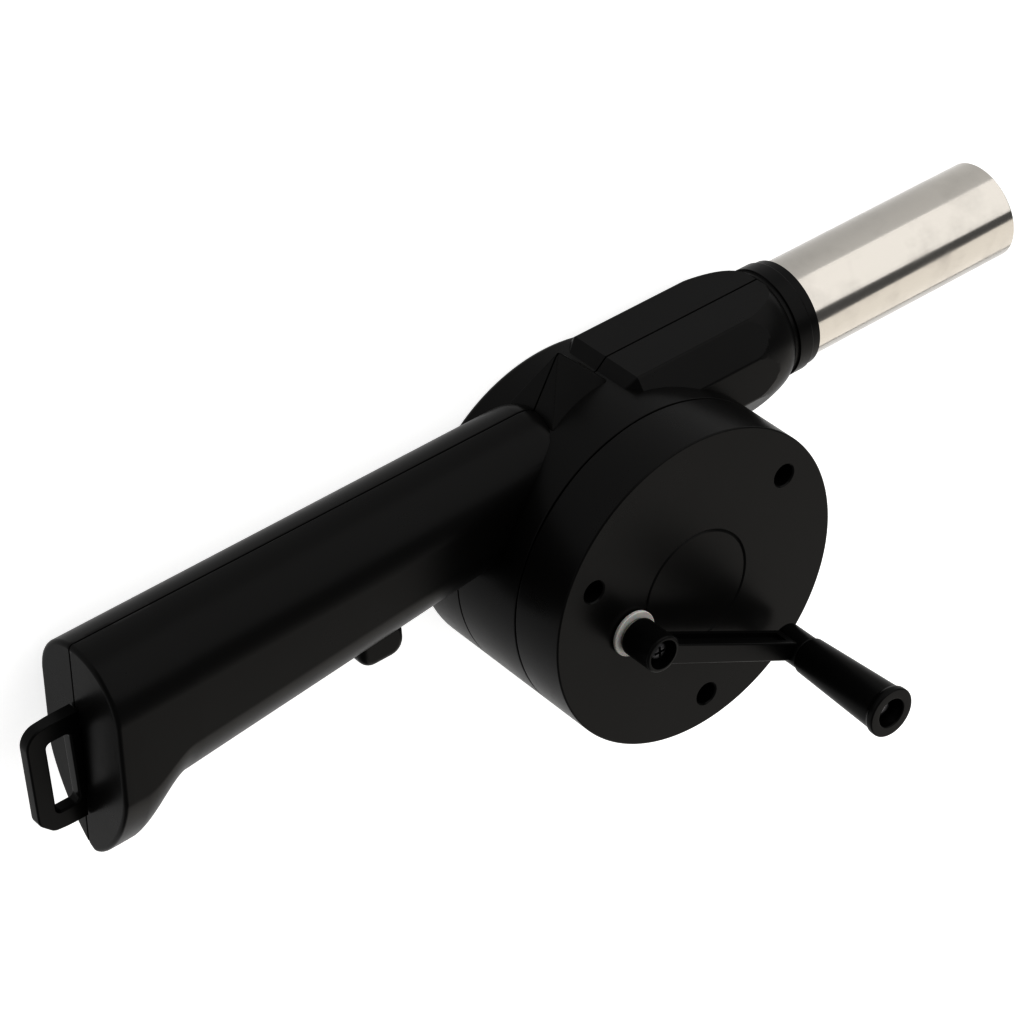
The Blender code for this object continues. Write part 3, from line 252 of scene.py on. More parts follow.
def settle(item, name, body, slot, finish, *nodes):
    """Name a finished piece, shade it, and let it ride on its body in place of its solids."""
    item.name = name
    item.data.name = name
    form = bmesh.new()
    form.from_mesh(item.data)
    bmesh.ops.remove_doubles(form, verts=form.verts, dist=WELD)
    bmesh.ops.dissolve_degenerate(form, edges=form.edges, dist=WELD)
    form.to_mesh(item.data)
    form.free()
    item.data.materials.clear()
    item.data.materials.append(finish)
    item.data.shade_smooth()
    item.data.set_sharp_from_angle(angle=SHARP)
    even = item.modifiers.new("even_shading", "WEIGHTED_NORMAL")
    even.mode = "FACE_AREA"
    even.keep_sharp = True
    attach(item, body)
    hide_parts(*nodes)
    print(name, "faces", len(item.data.polygons), "open edges", open_edges(item))


print("tools: open_edges, settle")

# %% [markdown]
# ## Finishes
#
# A finish is a Principled shader whose colour, gloss and bumps vary a little, as on a real
# surface. Chains of Math nodes are hard to read, so a small class wraps a socket and lets
# Python's own signs add them: `0.4 + 0.1 * mask` makes two nodes.

# %% A class for shader sums
class Wire:
    """A value that runs through a finish's node tree."""

    def __init__(self, finish, socket):
        self.finish = finish
        self.socket = socket

    def math(self, operation, first, second):
        """One Math node on two values."""
        settings = {"operation": operation}
        return self.finish.node("ShaderNodeMath", settings, {0: first, 1: second})

    def __add__(self, other):
        return self.math("ADD", self, other)

    def __sub__(self, other):
        return self.math("SUBTRACT", self, other)

    def __rsub__(self, other):
        return self.math("SUBTRACT", other, self)

    def __mul__(self, other):
        return self.math("MULTIPLY", self, other)

    __radd__ = __add__
    __rmul__ = __mul__


print("class: Wire")

# %% A class for finishes
class Finish:
    """A material under construction."""

    def __init__(self, name, **constants):
        self.material = bpy.data.materials.new(name)
        self.material.use_nodes = True
        self.tree = self.material.node_tree
        self.shader = self.tree.nodes["Principled BSDF"]
        self.set(**{key.replace("_", " "): value for key, value in constants.items()})

    def node(self, kind, settings=None, inputs=None, output=0):
        """Add any node: its settings are set first, then its sockets."""
        made = self.tree.nodes.new(kind)
        for key, value in (settings or {}).items():
            if key == "stops":
                ramp = made.color_ramp
                for stop, (place, shade) in zip(ramp.elements, value):
                    stop.position = place
                    stop.color = (shade, shade, shade, 1.0)
            else:
                setattr(made, key, value)
        for key, value in (inputs or {}).items():
            self.feed(made.inputs[key], value)
        return Wire(self, made.outputs[output])

    def feed(self, socket, value):
        """Link a wire to a socket, or set the socket's own value."""
        if isinstance(value, Wire):
            self.tree.links.new(value.socket, socket)
        else:
            socket.default_value = value

    def set(self, **values):
        """Feed the main shader's sockets by name."""
        for key, value in values.items():
            self.feed(self.shader.inputs[key], value)

    def place(self, stretch=(1.0, 1.0, 1.0)):
        """Object coordinates, stretched along the axes."""
        raw = self.node("ShaderNodeTexCoord", output="Object")
        return self.node("ShaderNodeMapping", None, {"Vector": raw, "Scale": stretch})

    def noise(self, place, size, detail=3.0, rough=0.55):
        """Soft noise whose spots are about size across."""
        return self.node("ShaderNodeTexNoise", None, {
            "Vector": place, "Scale": 1.0 / size, "Detail": detail, "Roughness": rough,
        })

    def ramp(self, value, low, high):
        """Spread the part of a value between low and high over 0 to 1."""
        stops = [(low, 0.0), (high, 1.0)]
        return self.node("ShaderNodeValToRGB", {"stops": stops}, {"Fac": value})

    def blend(self, share, first, second):
        """Mix two colours by a share. A Mix node keeps its colours at sockets 6 and 7."""
        return self.node(
            "ShaderNodeMix", {"data_type": "RGBA"}, {0: share, 6: first, 7: second}, output=2,
        )

    def bump(self, height, depth, strength=1.0, under=None):
        """Turn a height into a surface normal, over another one if it is given."""
        inputs = {"Height": height, "Distance": depth, "Strength": strength}
        if under is not None:
            inputs["Normal"] = under
        return self.node("ShaderNodeBump", None, inputs)


print("class: Finish")

# %% [markdown]
# The shells are moulded in black plastic. Their mould is lightly eroded by sparks, which
# leaves a fine grain, and handling polishes the high parts unevenly. One fine noise gives
# the grain, one broad noise the uneven gloss, and a faint dust lies in the grain.

# %% Black moulded plastic
def moulded_plastic(name, colour, gloss, grain, depth, spread):
    """Moulded plastic with a grain, uneven gloss and a trace of dust."""
    made = Finish(name, IOR=1.47, Specular_IOR_Level=0.24)
    place = made.place()
    fine = made.noise(place, grain, 2.0, 0.6)
    broad = made.noise(place, 14.0 * MM, 4.0, 0.5)
    dust = made.ramp(made.noise(place, 3.0 * MM, 5.0, 0.7), 0.56, 0.82)
    pale = tuple(0.75 * part + 0.004 for part in colour)
    made.set(**{
        "Base Color": made.blend(0.5 * dust, (*colour, 1.0), (*pale, 1.0)),
        "Roughness": gloss + spread * (broad - 0.5) + 0.05 * (fine - 0.5) + 0.06 * dust,
        "Normal": made.bump(fine, depth, 1.0, made.bump(broad, 0.05 * MM, 0.4)),
    })
    return made.material


shell_black = moulded_plastic(
    "shell_black", (0.0085, 0.0082, 0.0078), gloss=0.30, grain=0.42 * MM, depth=0.008 * MM,
    spread=0.12,
)
crank_black = moulded_plastic(
    "crank_black", (0.0060, 0.0060, 0.0058), gloss=0.30, grain=0.60 * MM, depth=0.003 * MM,
    spread=0.10,
)
fan_black = moulded_plastic(
    "fan_black", (0.0140, 0.0138, 0.0134), gloss=0.48, grain=0.50 * MM, depth=0.010 * MM,
    spread=0.10,
)
print("finishes:", shell_black.name, crank_black.name, fan_black.name)

# %% [markdown]
# The air tube is drawn through a die and polished. That leaves faint lines along its length
# and soft smears from hands. Noise stretched far along X makes the lines: it varies round
# the tube but hardly along it. The screws are plated, the crank's screw gets a dark colour
# that paints the shade of the hub's recess, and the fan's bush is bearing metal. They
# differ only in colour, gloss and lines.

# %% Drawn steel, screws and bearing metal
def drawn_metal(name, colour, gloss, stretch, line, depth, smear):
    """Metal with fine lines one way and a broad smear on top."""
    made = Finish(name, Metallic=1.0)
    lines = made.noise(made.place(stretch), line, 4.0, 0.6)
    broad = made.noise(made.place(), 9.0 * MM, 3.0, 0.55)
    dull = made.ramp(broad, 0.48, 0.80)
    worn = tuple(0.86 * part for part in colour)
    made.set(**{
        "Base Color": made.blend(0.6 * dull, (*colour, 1.0), (*worn, 1.0)),
        "Roughness": gloss + 0.10 * (lines - 0.5) + smear * dull,
        "Normal": made.bump(lines, depth, 0.6),
    })
    return made.material


EVEN = (1.0, 1.0, 1.0)
tube_steel = drawn_metal(
    "tube_steel", (0.47, 0.454, 0.430), gloss=0.13, stretch=(0.02, 1.0, 1.0),
    line=0.8 * MM, depth=0.004 * MM, smear=0.08,
)
screw_zinc = drawn_metal(
    "screw_zinc", (0.60, 0.60, 0.62), gloss=0.30, stretch=EVEN,
    line=0.5 * MM, depth=0.010 * MM, smear=0.12,
)
# Dark metal for the crank's screw: its colour is painted shade for the hub's dark recess.
screw_painted_shade = drawn_metal(
    "screw_painted_shade", (0.10, 0.10, 0.105), gloss=0.38, stretch=EVEN,
    line=0.5 * MM, depth=0.010 * MM, smear=0.12,
)
bush_metal = drawn_metal(
    "bush_metal", (0.56, 0.43, 0.21), gloss=0.38, stretch=(1.0, 1.0, 0.1),
    line=0.4 * MM, depth=0.010 * MM, smear=0.10,
)
print("finishes:", tube_steel.name, screw_zinc.name, screw_painted_shade.name, bush_metal.name)

# %% [markdown]
# The washer under the crank is white nylon and the gears are natural acetal. Both are a
# little translucent, so a small share of light is let under the surface, and the washer has
# fine turning rings where it was machined.

# %% White nylon and natural acetal
def pale_plastic(name, colour, gloss, centre, ring):
    """Pale translucent plastic with turning rings round a centre, each about ring wide."""
    made = Finish(name, **{"Subsurface Weight": 0.15, "Subsurface Scale": 0.6 * MM})
    raw = made.node("ShaderNodeTexCoord", output="Object")
    shift = (-centre[0], -centre[1], 0.0)
    local = made.node("ShaderNodeMapping", None, {"Vector": raw, "Location": shift})
    rings = made.node(
        "ShaderNodeTexWave", {"wave_type": "RINGS", "rings_direction": "Z"},
        {"Vector": local, "Scale": 1.0 / ring / 6.28, "Distortion": 0.6, "Detail": 2.0},
        output="Fac",
    )
    stain = made.ramp(made.noise(raw, 2.5 * MM, 4.0, 0.6), 0.45, 0.75)
    shade = tuple(0.84 * part for part in colour)
    made.set(**{
        "Base Color": made.blend(0.5 * stain, (*colour, 1.0), (*shade, 1.0)),
        "Roughness": gloss + 0.08 * (rings - 0.5) + 0.08 * stain,
        "Normal": made.bump(rings, 0.010 * MM, 0.5),
    })
    return made.material


CRANK = (-18.0 * MM, -2.0 * MM)
washer_white = pale_plastic("washer_white", (0.80, 0.79, 0.76), 0.42, CRANK, 0.35 * MM)
gear_acetal = pale_plastic("gear_acetal", (0.74, 0.72, 0.66), 0.38, CRANK, 0.8 * MM)
print("finishes:", washer_white.name, gear_acetal.name)

# %% [markdown]
# ## The handle
#
# The handle is a hollow moulding with a round back and a belly that narrows to its edge.
# It rises a little towards the butt, and its back dips into the drum at the root. It could
# be sculpted, but a designer would draw its sections. So a straight tube of rings is
# extruded from one circle, and each ring is then swelled out to the handle's section at
# its own place. The rim of the butt is bevelled last.

# %% Sections of the handle
BACK_Y = 37.5 * MM
BUTT_X = -132.5 * MM
SLANT = 2.6 * MM
ROOT_X, ROOT_RUN, ROOT_DROP = -14.0 * MM, 5.0 * MM, 3.0 * MM
NECK_X, NECK_Y = -22.0 * MM, 7.2 * MM
REAR_X, REAR_Y = -115.0 * MM, -3.9 * MM
TOE_X, TOE_Y = -129.0 * MM, -14.4 * MM
GRIP_HALF, GRIP_SWELL = 12.6 * MM, 1.4 * MM
ARCH = 12.5 * MM
BELLY_SHARE = 0.405
POWER, POWER_GAIN = 1.12, 0.28
BUTT_RISE = 2.0 * MM


def belly_at(x):
    """Lowest edge of the handle: a long taper, then a hollow down to the toe."""
    if x >= REAR_X:
        return NECK_Y + (REAR_Y - NECK_Y) * (NECK_X - x) / (NECK_X - REAR_X)
    share = min(1.0, (REAR_X - x) / (REAR_X - TOE_X))
    return REAR_Y + (TOE_Y - REAR_Y) * share * share * (3.0 - 2.0 * share)


def section_point(x, angle):
    """A point of the handle's section at x, at an angle round it."""
    along = (NECK_X - x) / (NECK_X - BUTT_X)
    near_root = min(1.0, max(0.0, (x - ROOT_X + ROOT_RUN) / ROOT_RUN))
    sunk = ROOT_DROP * (1.0 - math.sqrt(1.0 - near_root * near_root))
    width = GRIP_HALF + GRIP_SWELL * along - sunk
    arch = ARCH - sunk
    back, belly = BACK_Y - sunk, belly_at(x) + sunk
    deep = (back - belly) * BELLY_SHARE
    power = POWER + POWER_GAIN * along
    rise, side = math.sin(angle), math.cos(angle)
    if rise > 0.0:
        y = back - arch + arch * rise
    else:
        y = belly + deep - deep * abs(rise) ** power
        side = math.copysign(abs(side) ** power, side)
    if x < TOE_X:
        x -= SLANT * (BACK_Y - y) / (BACK_Y - TOE_Y)
    return Vector((x, y, SPLIT_Z + BUTT_RISE * along + width * side))


print("handle from", ROOT_X, "to", BUTT_X)

# %% [markdown]
# The rings stand close together where the shape bends: at the root, and where the belly
# turns down to the toe. Between them the handle is nearly straight, and three rings do.

# %% The handle's form
HANDLE_STEPS = 72
ROOT_SHARES = (0.0, 0.05, 0.15, 0.35, 0.65, 1.0)
RING_GAP = 0.8 * MM


def handle_form():
    """The handle as one closed form."""
    places = [ROOT_X - ROOT_RUN * share for share in ROOT_SHARES]
    places += [-30.0 * MM, -50.0 * MM, -80.0 * MM]
    places += [REAR_X + 2.0 * MM - RING_GAP * k for k in range(20)]
    places += [TOE_X - 0.5 * MM, BUTT_X]
    form = bmesh.new()
    bmesh.ops.create_circle(form, cap_ends=False, segments=HANDLE_STEPS, radius=1.0)
    for turn in (
        Matrix.Rotation(math.pi / 2.0, 3, "Y"),
        Matrix.Rotation(math.pi / HANDLE_STEPS, 3, "X"),
    ):
        bmesh.ops.rotate(form, verts=form.verts, matrix=turn)
    bmesh.ops.translate(form, verts=form.verts, vec=(places[0], 0.0, 0.0))
    first = rim = form.edges[:]
    for before, after in zip(places, places[1:]):
        grown = bmesh.ops.extrude_edge_only(form, edges=rim)["geom"]
        corners = [item for item in grown if isinstance(item, bmesh.types.BMVert)]
        rim = [item for item in grown if isinstance(item, bmesh.types.BMEdge)]
        bmesh.ops.translate(form, verts=corners, vec=(after - before, 0.0, 0.0))
    bmesh.ops.contextual_create(form, geom=first)
    butt = bmesh.ops.contextual_create(form, geom=rim)["faces"]
    for corner in form.verts:
        corner.co = section_point(corner.co.x, math.atan2(corner.co.y, corner.co.z))
    bmesh.ops.recalc_face_normals(form, faces=form.faces)
    soften(form, [edge for face in butt for edge in face.edges], 1.0 * MM, 4)
    bmesh.ops.triangulate(form, faces=form.faces)
    return form


print("rings of", HANDLE_STEPS, "corners")

# %% [markdown]
# ## The duct
#
# The air leaves the drum through an eight-sided duct whose flats are trimmed by a round
# nose where it meets the collar, so that each flat ends in a scallop. Both are simple
# forms, and the Boolean that keeps what they share cuts the scallops by itself.

# %% The duct
DUCT_X = 48.0 * MM
DUCT_START = 2.4 * MM
HALF_HIGH = 15.4 * MM
HALF_WIDE = TUBE_R + 0.8 * MM
TOP_HALF = 5.1 * MM
SIDE_HALF = 10.5 * MM
LEAD, LEAD_INSET = 3.0 * MM, 2.5 * MM
NOSE_X, NOSE_RUN, NOSE_SWELL = 26.0 * MM, 22.5 * MM, 5.0 * MM
NOSE_STEPS = 20


def octagon(inset):
    """The duct's section as (height, width) points round the tube's axis."""
    high, wide = HALF_HIGH - inset, HALF_WIDE - inset
    slope = math.atan2(HALF_HIGH - SIDE_HALF, HALF_WIDE - TOP_HALF)
    top = TOP_HALF - inset * math.tan(slope / 2.0)
    side = SIDE_HALF - inset * math.tan(math.pi / 4.0 - slope / 2.0)
    return [
        (high, top), (side, wide), (-side, wide), (-high, top),
        (-high, -top), (-side, -wide), (side, -wide), (high, -top),
    ]


def duct_form(inset, start, end, lead=0.0, corner=0.0):
    """A length of the eight-sided duct, with its start drawn in over the lead."""
    form = slab([(-height, width) for height, width in octagon(inset)], start + lead, end)
    if lead > 0.0:
        first = [face for face in form.faces if face.normal.z < -0.9]
        bmesh.ops.inset_region(
            form, faces=first, thickness=LEAD_INSET, depth=lead, use_even_offset=True,
            use_boundary=True,
        )
    if corner > 0.0:
        sides = [
            edge for edge in form.edges
            if abs((edge.verts[0].co - edge.verts[1].co).z) > 1.0 * MM
        ]
        soften(form, sides, corner, 3)
    return lay_on_tube(form)


def nose_form():
    """The round nose that trims the duct's flats."""
    start = DUCT_START - WALL
    base = TUBE_R + 0.1 * MM
    points = [(0.0, start), (base + NOSE_SWELL, start)]
    for k in range(NOSE_STEPS + 1):
        x = NOSE_X + (DUCT_X - NOSE_X) * k / NOSE_STEPS
        share = (x - NOSE_X) / NOSE_RUN
        points.append((base + NOSE_SWELL * math.sqrt(1.0 - share * share), x))
    points.append((0.0, DUCT_X))
    return lay_on_tube(turned(points, 128))


print("duct", round(2.0 * HALF_HIGH / MM, 1), "x", round(2.0 * HALF_WIDE / MM, 1), "mm")

# %% [markdown]
# ## The crest, the finger stop and the drum
#
# A pointed crest stiffens the place where the handle's back meets the duct. It is the hull
# of seven points. A nub below the handle stops the forefinger, and is a slab with very
# round corners. The drum is turned. One Boolean joins them all, as one mould forms them.

# %% The crest and the finger stop
CREST_TOP = (-7.3, 47.6, 0.0)
CREST_SIDE = ((-15.5, 34.7, 7.3), (2.0, 37.95, 4.6), (-7.3, 30.0, 2.3))
STOP_X, STOP_HALF, STOP_WIDE = -62.0 * MM, 5.75 * MM, 5.5 * MM
STOP_BELOW, STOP_ABOVE = 5.4 * MM, 4.0 * MM


def crest_form():
    """The pointed crest between the handle's back and the duct, from points in mm."""
    points = [CREST_TOP]
    for side in (-1.0, 1.0):
        points += [(x, y, side * across) for x, y, across in CREST_SIDE]
    form = bmesh.new()
    for x, y, across in points:
        form.verts.new((x * MM, y * MM, SPLIT_Z + across * MM))
    hull = bmesh.ops.convex_hull(form, input=form.verts[:])
    spare = [item for item in hull["geom_interior"] if isinstance(item, bmesh.types.BMVert)]
    bmesh.ops.delete(form, geom=spare, context="VERTS")
    bmesh.ops.dissolve_limit(
        form, angle_limit=math.radians(2.0), verts=form.verts, edges=form.edges,
    )
    bmesh.ops.recalc_face_normals(form, faces=form.faces)
    soften(form, form.edges[:], 0.3 * MM, 2)
    return form


def stop_form():
    """The rounded nub that stops the forefinger."""
    low = belly_at(STOP_X) - STOP_BELOW
    high = belly_at(STOP_X) + STOP_ABOVE
    outline = rectangle(STOP_X + STOP_HALF, STOP_X - STOP_HALF, high, low)
    return slab(outline, SPLIT_Z - STOP_WIDE, SPLIT_Z + STOP_WIDE, 3.6 * MM, 1.8 * MM, 5)


print("finger stop at", STOP_X, "crest up to", CREST_TOP[1] * MM)

# %% The drum and the whole outside
DRUM_STEPS = 192
SPIGOT_R = TUBE_R - 0.9 * MM


def drum_turned(points, *roundings):
    """Turn a profile as wide as the drum. Each rounding is a height, a radius and segments."""
    form = chain([(radius, 0.0, z) for radius, z in points], False)
    for z, radius, segments in roundings:
        place = Vector((DRUM, 0.0, z))
        corner = min(form.verts, key=lambda item: (item.co - place).length)
        round_corners(form, [corner], radius, segments)
    return spun(form, DRUM_STEPS)


def housing_form(name):
    """The outside of both moulded halves together."""
    duct = solid(duct_form(0.0, DUCT_START, DUCT_X + WALL, LEAD, 0.4 * MM), "duct")
    combine(duct, "INTERSECT", nose_form())
    spigot = lay_on_tube(upright(SPIGOT_R, DUCT_X - 2.0 * WALL, DUCT_X + 7.5 * MM, steps=64))
    rim = ((0.0, 1.6 * MM, 6), (SEAM_Z, 0.3 * MM, 2))
    body = solid(drum_turned(rectangle(0.0, DRUM, 0.0, SEAM_Z), *rim), name)
    return combine(body, "UNION", handle_form(), duct, crest_form(), stop_form(), spigot)


print("drum", round(2.0 * DRUM / MM, 1), "mm across")

# %% [markdown]
# ## The two halves
#
# The housing is moulded as two halves that meet in a plane through the handle and the tube.
# On the real part the seam is a fine dark line with a soft edge on both sides. Each half is
# cut from the whole form by a half space, and the rim of the cut is bevelled by a seventh
# of a millimetre, so that the line catches light. Corners of the rim that lie closer than a
# tenth of a millimetre are merged first, since a bevel would fold over between them.

# %% Cut a half and soften its seam
REACH = 0.3
ABOVE = 0.06
BELOW = -0.01
SEAM_SOFT = 0.14 * MM
RIM_MERGE = 0.1 * MM


def faces_at(form, level):
    """The level faces of a form that lie at one height."""
    return [
        face for face in form.faces
        if abs(face.normal.z) > 0.999
        and abs(face.calc_center_median().z - level) < 0.01 * MM
    ]


def half_form(name, low_z, high_z, seam_z):
    """One half of the housing between two heights, with a soft edge at the seam."""
    half = housing_form(name)
    combine(half, "INTERSECT", slab(rectangle(-REACH, REACH, -REACH, REACH), low_z, high_z))
    form = bmesh.new()
    form.from_mesh(half.data)
    bmesh.ops.dissolve_faces(form, faces=faces_at(form, seam_z))
    flat = set(faces_at(form, seam_z))
    corners = [corner for corner in form.verts if flat & set(corner.link_faces)]
    bmesh.ops.remove_doubles(form, verts=corners, dist=RIM_MERGE)
    rims = [edge for face in faces_at(form, seam_z) for edge in face.edges]
    soften(form, rims, SEAM_SOFT, 2, clamp=False)
    form.to_mesh(half.data)
    form.free()
    return half


print("tools: faces_at, half_form")

# %% [markdown]
# The halves are hollow. The fan turns in a round chamber, the air leaves it through the
# duct and the spigot, and a slot in the butt holds the hanging loop. These hollows pass
# through both halves, so they are made anew for each half and cut out of it.

# %% The hollows
SCREWS = {
    "butt": (-115.0 * MM, 13.0 * MM), "grip": (-66.0 * MM, 17.0 * MM),
    "drum": (24.0 * MM, -22.5 * MM),
}
WELL_R = 2.6 * MM
WELL_FLOOR = SHELL_SEAT + GAP
POST_R = 3.6 * MM
SCREW_HOLE_R = 1.3 * MM
BORE_R = TUBE_R - 2.3 * MM
LOOP_Y = (loop_low.y + loop_high.y) / 2.0
SLOT_X, SLOT_HALF = -0.138, 6.3 * MM
POCKET_DEEP, POCKET_HALF = 2.9 * MM, 9.3 * MM


def air_way():
    """The hollow that the air takes: fan chamber, duct and the bore of the spigot."""
    chamber = solid(upright(DRUM - WALL, WALL, BULKHEAD_TOP - WALL, steps=160), "chamber")
    duct = duct_form(WALL, DUCT_START + 2.0 * WALL, NOSE_X)
    bore = lay_on_tube(upright(BORE_R, DUCT_START, DUCT_X + 30.0 * MM, steps=64))
    return combine(chamber, "UNION", duct, bore)


def loop_slot():
    """The slot in the butt that traps the hanging loop's tongue."""
    inner, outer = loop_high.x - POCKET_DEEP, loop_high.x + GAP
    low, high = loop_low.z - GAP, loop_high.z + GAP
    slot = rectangle(SLOT_X, outer, LOOP_Y - SLOT_HALF, LOOP_Y + SLOT_HALF)
    pocket = rectangle(inner, outer, LOOP_Y - POCKET_HALF, LOOP_Y + POCKET_HALF)
    return combine(solid(slab(slot, low, high)), "UNION", slab(pocket, low, high))


print("screws:", sorted(SCREWS))

# %% [markdown]
# The rear half is the floor of the fan's chamber. Air enters through twelve slots in it,
# and three screws come in through it from behind. The slots are one slab, turned round the
# drum's axis, and the screws' wells are drilled.

# %% The rear half with its air intake
BACK_CUT = -0.005 * MM
SLOTS = 12


def slot_form(angle):
    """One radial intake slot with round ends."""
    inner, outer, half = 11.0 * MM, 25.5 * MM, 1.6 * MM
    outline = rectangle(inner - half, outer + half, -half, half)
    form = slab(outline, -1.0 * MM, 2.0 * WALL, 1.58 * MM)
    bmesh.ops.rotate(form, verts=form.verts, matrix=Matrix.Rotation(angle, 3, "Z"))
    return form


rear = half_form("rear", BACK_CUT, rear_high.z, rear_high.z)
combine(rear, "DIFFERENCE", air_way())
post = upright(POST_R, 1.0 * MM, rear_high.z - 0.01 * MM, SCREWS["drum"])
combine(rear, "UNION", post)
for number in range(SLOTS):
    combine(rear, "DIFFERENCE", slot_form(math.tau * (number + 0.5) / SLOTS))
for place in SCREWS.values():
    well = upright(WELL_R, BELOW, WELL_FLOOR, place)
    hole = upright(SCREW_HOLE_R, 0.0, rear_high.z + WALL, place)
    combine(rear, "DIFFERENCE", well, hole)
combine(rear, "DIFFERENCE", loop_slot())
settle(rear, "rear_half", "housing", "black_shell_plastic", shell_black, "rear_shell")

# %% [markdown]
# The front half carries the bulkhead between the fan and the gears, with the seat of the
# fan's bush in its middle. Above the bulkhead it is open, and the gear cover closes it.

# %% The front half with its bulkhead
BUSH_HOLE_R = 3.9 * MM

front = half_form("front", front_low.z, ABOVE, front_low.z)
combine(front, "DIFFERENCE", air_way())
combine(front, "DIFFERENCE", upright(DRUM - WALL, BULKHEAD_TOP, ABOVE, steps=160))
seat = upright(BUSH_HOLE_R, BULKHEAD_TOP - 2.0 * WALL, BULKHEAD_TOP + WALL)
combine(front, "DIFFERENCE", seat)
for place in SCREWS.values():
    hole = upright(SCREW_HOLE_R, front_low.z - WALL, BULKHEAD_TOP - 1.5 * WALL, place)
    combine(front, "DIFFERENCE", hole)
combine(front, "DIFFERENCE", loop_slot())
settle(front, "front_half", "housing", "black_shell_plastic", shell_black, "front_shell")

# %% [markdown]
# ## The gear cover
#
# The drum's front is a flat cap over the gears. It has three deep wells for its screws, a
# hole for the crank's shaft and a fine engraved circle. The place inside the circle is left
# bare. The cap is turned in one go, with the engraved line in its profile, and then drilled.

# %% The cover
CIRCLE_R, CIRCLE_HALF, CIRCLE_DEEP = 13.8 * MM, 0.35 * MM, 0.28 * MM
WELL_CIRCLE, WELL_ANGLE = 30.5 * MM, 33.5
SHAFT_HOLE_R = 3.7 * MM

cover_profile = [
    (0.0, FACE_Z - WALL), (DRUM - WALL, FACE_Z - WALL), (DRUM - WALL, cover_low.z),
    (DRUM, cover_low.z), (DRUM, FACE_Z), (CIRCLE_R + CIRCLE_HALF, FACE_Z),
    (CIRCLE_R, FACE_Z - CIRCLE_DEEP), (CIRCLE_R - CIRCLE_HALF, FACE_Z), (0.0, FACE_Z),
]
cover_rim = ((FACE_Z, 0.4 * MM, 4), (cover_low.z, 0.3 * MM, 2))
cover = solid(drum_turned(cover_profile, *cover_rim), "cover")
print("engraved circle", round(2.0 * CIRCLE_R / MM, 1), "mm across")

# %% The cover's wells
cover_floor = COVER_SEAT - GAP
over = FACE_Z + 0.2 * MM
cover_places = []
for number in range(3):
    angle = math.radians(WELL_ANGLE + 120.0 * number)
    place = (WELL_CIRCLE * math.cos(angle), WELL_CIRCLE * math.sin(angle))
    cover_places.append(place)
    combine(cover, "UNION", upright(POST_R, cover_floor - WALL, FACE_Z - 1.0 * MM, place))
    well = turned([
        (0.0, cover_floor), (WELL_R, cover_floor), (WELL_R, FACE_Z - 0.3 * MM),
        (WELL_R + 0.5 * MM, over), (0.0, over),
    ], 48, 0.0, place)
    hole = upright(SCREW_HOLE_R, cover_floor - 2.0 * WALL, over, place)
    combine(cover, "DIFFERENCE", well, hole)
shaft_hole = upright(SHAFT_HOLE_R, FACE_Z - 3.0 * WALL, FACE_Z + WALL, CRANK)
combine(cover, "DIFFERENCE", shaft_hole)
settle(cover, "cover_cap", "housing", "black_shell_plastic", shell_black, "gear_cover")

# %% [markdown]
# ## The hanging loop
#
# A flat loop sticks out of the butt, in the plane of the seam, for a hook. Its tongue is
# trapped between the halves. It is a slab with round corners and a window, and its edges
# are softened by a bevel, as on any moulded piece.

# %% The loop's frame
LOOP_CUT = 3.4 * MM


def butt_at(y):
    """Where the slanted butt lies at a height."""
    return BUTT_X - SLANT * (BACK_Y - y) / (BACK_Y - TOE_Y)


def loop_form():
    """The frame of the loop, with one corner cut off and one well rounded."""
    low, high, left = loop_low.y, loop_high.y, loop_low.x
    outline = [
        (butt_at(high) - GAP, high), (left, high), (left, low + LOOP_CUT),
        (left + LOOP_CUT, low), (butt_at(low) - GAP, low),
    ]
    form = chain([(x, y, loop_low.z) for x, y in outline], True)
    form.verts.ensure_lookup_table()
    top, upper, lower = (form.verts[k] for k in (1, 2, 3))
    round_corners(form, [top], 4.2 * MM, 8)
    round_corners(form, [upper, lower], 1.0 * MM, 4)
    return raised(form, loop_high.z - loop_low.z)


loop = solid(loop_form(), "loop")
print("loop", round((loop_high.y - loop_low.y) / MM, 1), "mm high")

# %% The loop's window and soft edges
LOOP_BAR = 4.4 * MM
window_right = butt_at(LOOP_Y) - GAP - 1.9 * MM
window = rectangle(
    loop_low.x + LOOP_BAR, window_right, loop_low.y + LOOP_BAR, loop_high.y - LOOP_BAR,
)
combine(loop, "DIFFERENCE", slab(window, 0.0, 0.05, 1.2 * MM))
form = bmesh.new()
form.from_mesh(loop.data)
rims = [
    edge for edge in form.edges
    if edge.calc_face_angle(0.0) > math.radians(60.0)
    and abs(edge.verts[0].co.z - edge.verts[1].co.z) < 0.01 * MM
    and max(edge.verts[0].co.x, edge.verts[1].co.x) < window_right + 0.1 * MM
]
soften(form, rims, 0.45 * MM, 3)
form.to_mesh(loop.data)
form.free()
print("softened edges:", len(rims))

# %% The loop's tongue and foot
TONGUE_HALF, FOOT_HALF, FOOT_DEEP = 6.0 * MM, 9.0 * MM, 2.6 * MM
tongue = rectangle(
    butt_at(LOOP_Y) - 0.6 * MM, loop_high.x, LOOP_Y - TONGUE_HALF, LOOP_Y + TONGUE_HALF,
)
foot = rectangle(
    loop_high.x - FOOT_DEEP, loop_high.x, LOOP_Y - FOOT_HALF, LOOP_Y + FOOT_HALF,
)
for outline, inset in ((tongue, 0.02 * MM), (foot, 0.01 * MM)):
    combine(loop, "UNION", slab(outline, loop_low.z + inset, loop_high.z - inset))
settle(loop, "hang_loop", "housing", "black_shell_plastic", crank_black, "hanging_loop")

# %% [markdown]
# ## Tube and collar
#
# The steel tube slides over the spigot, and a stepped plastic collar hides its root. Both
# are turned. The cut end of the tube is deburred, so its lip is rounded a little.

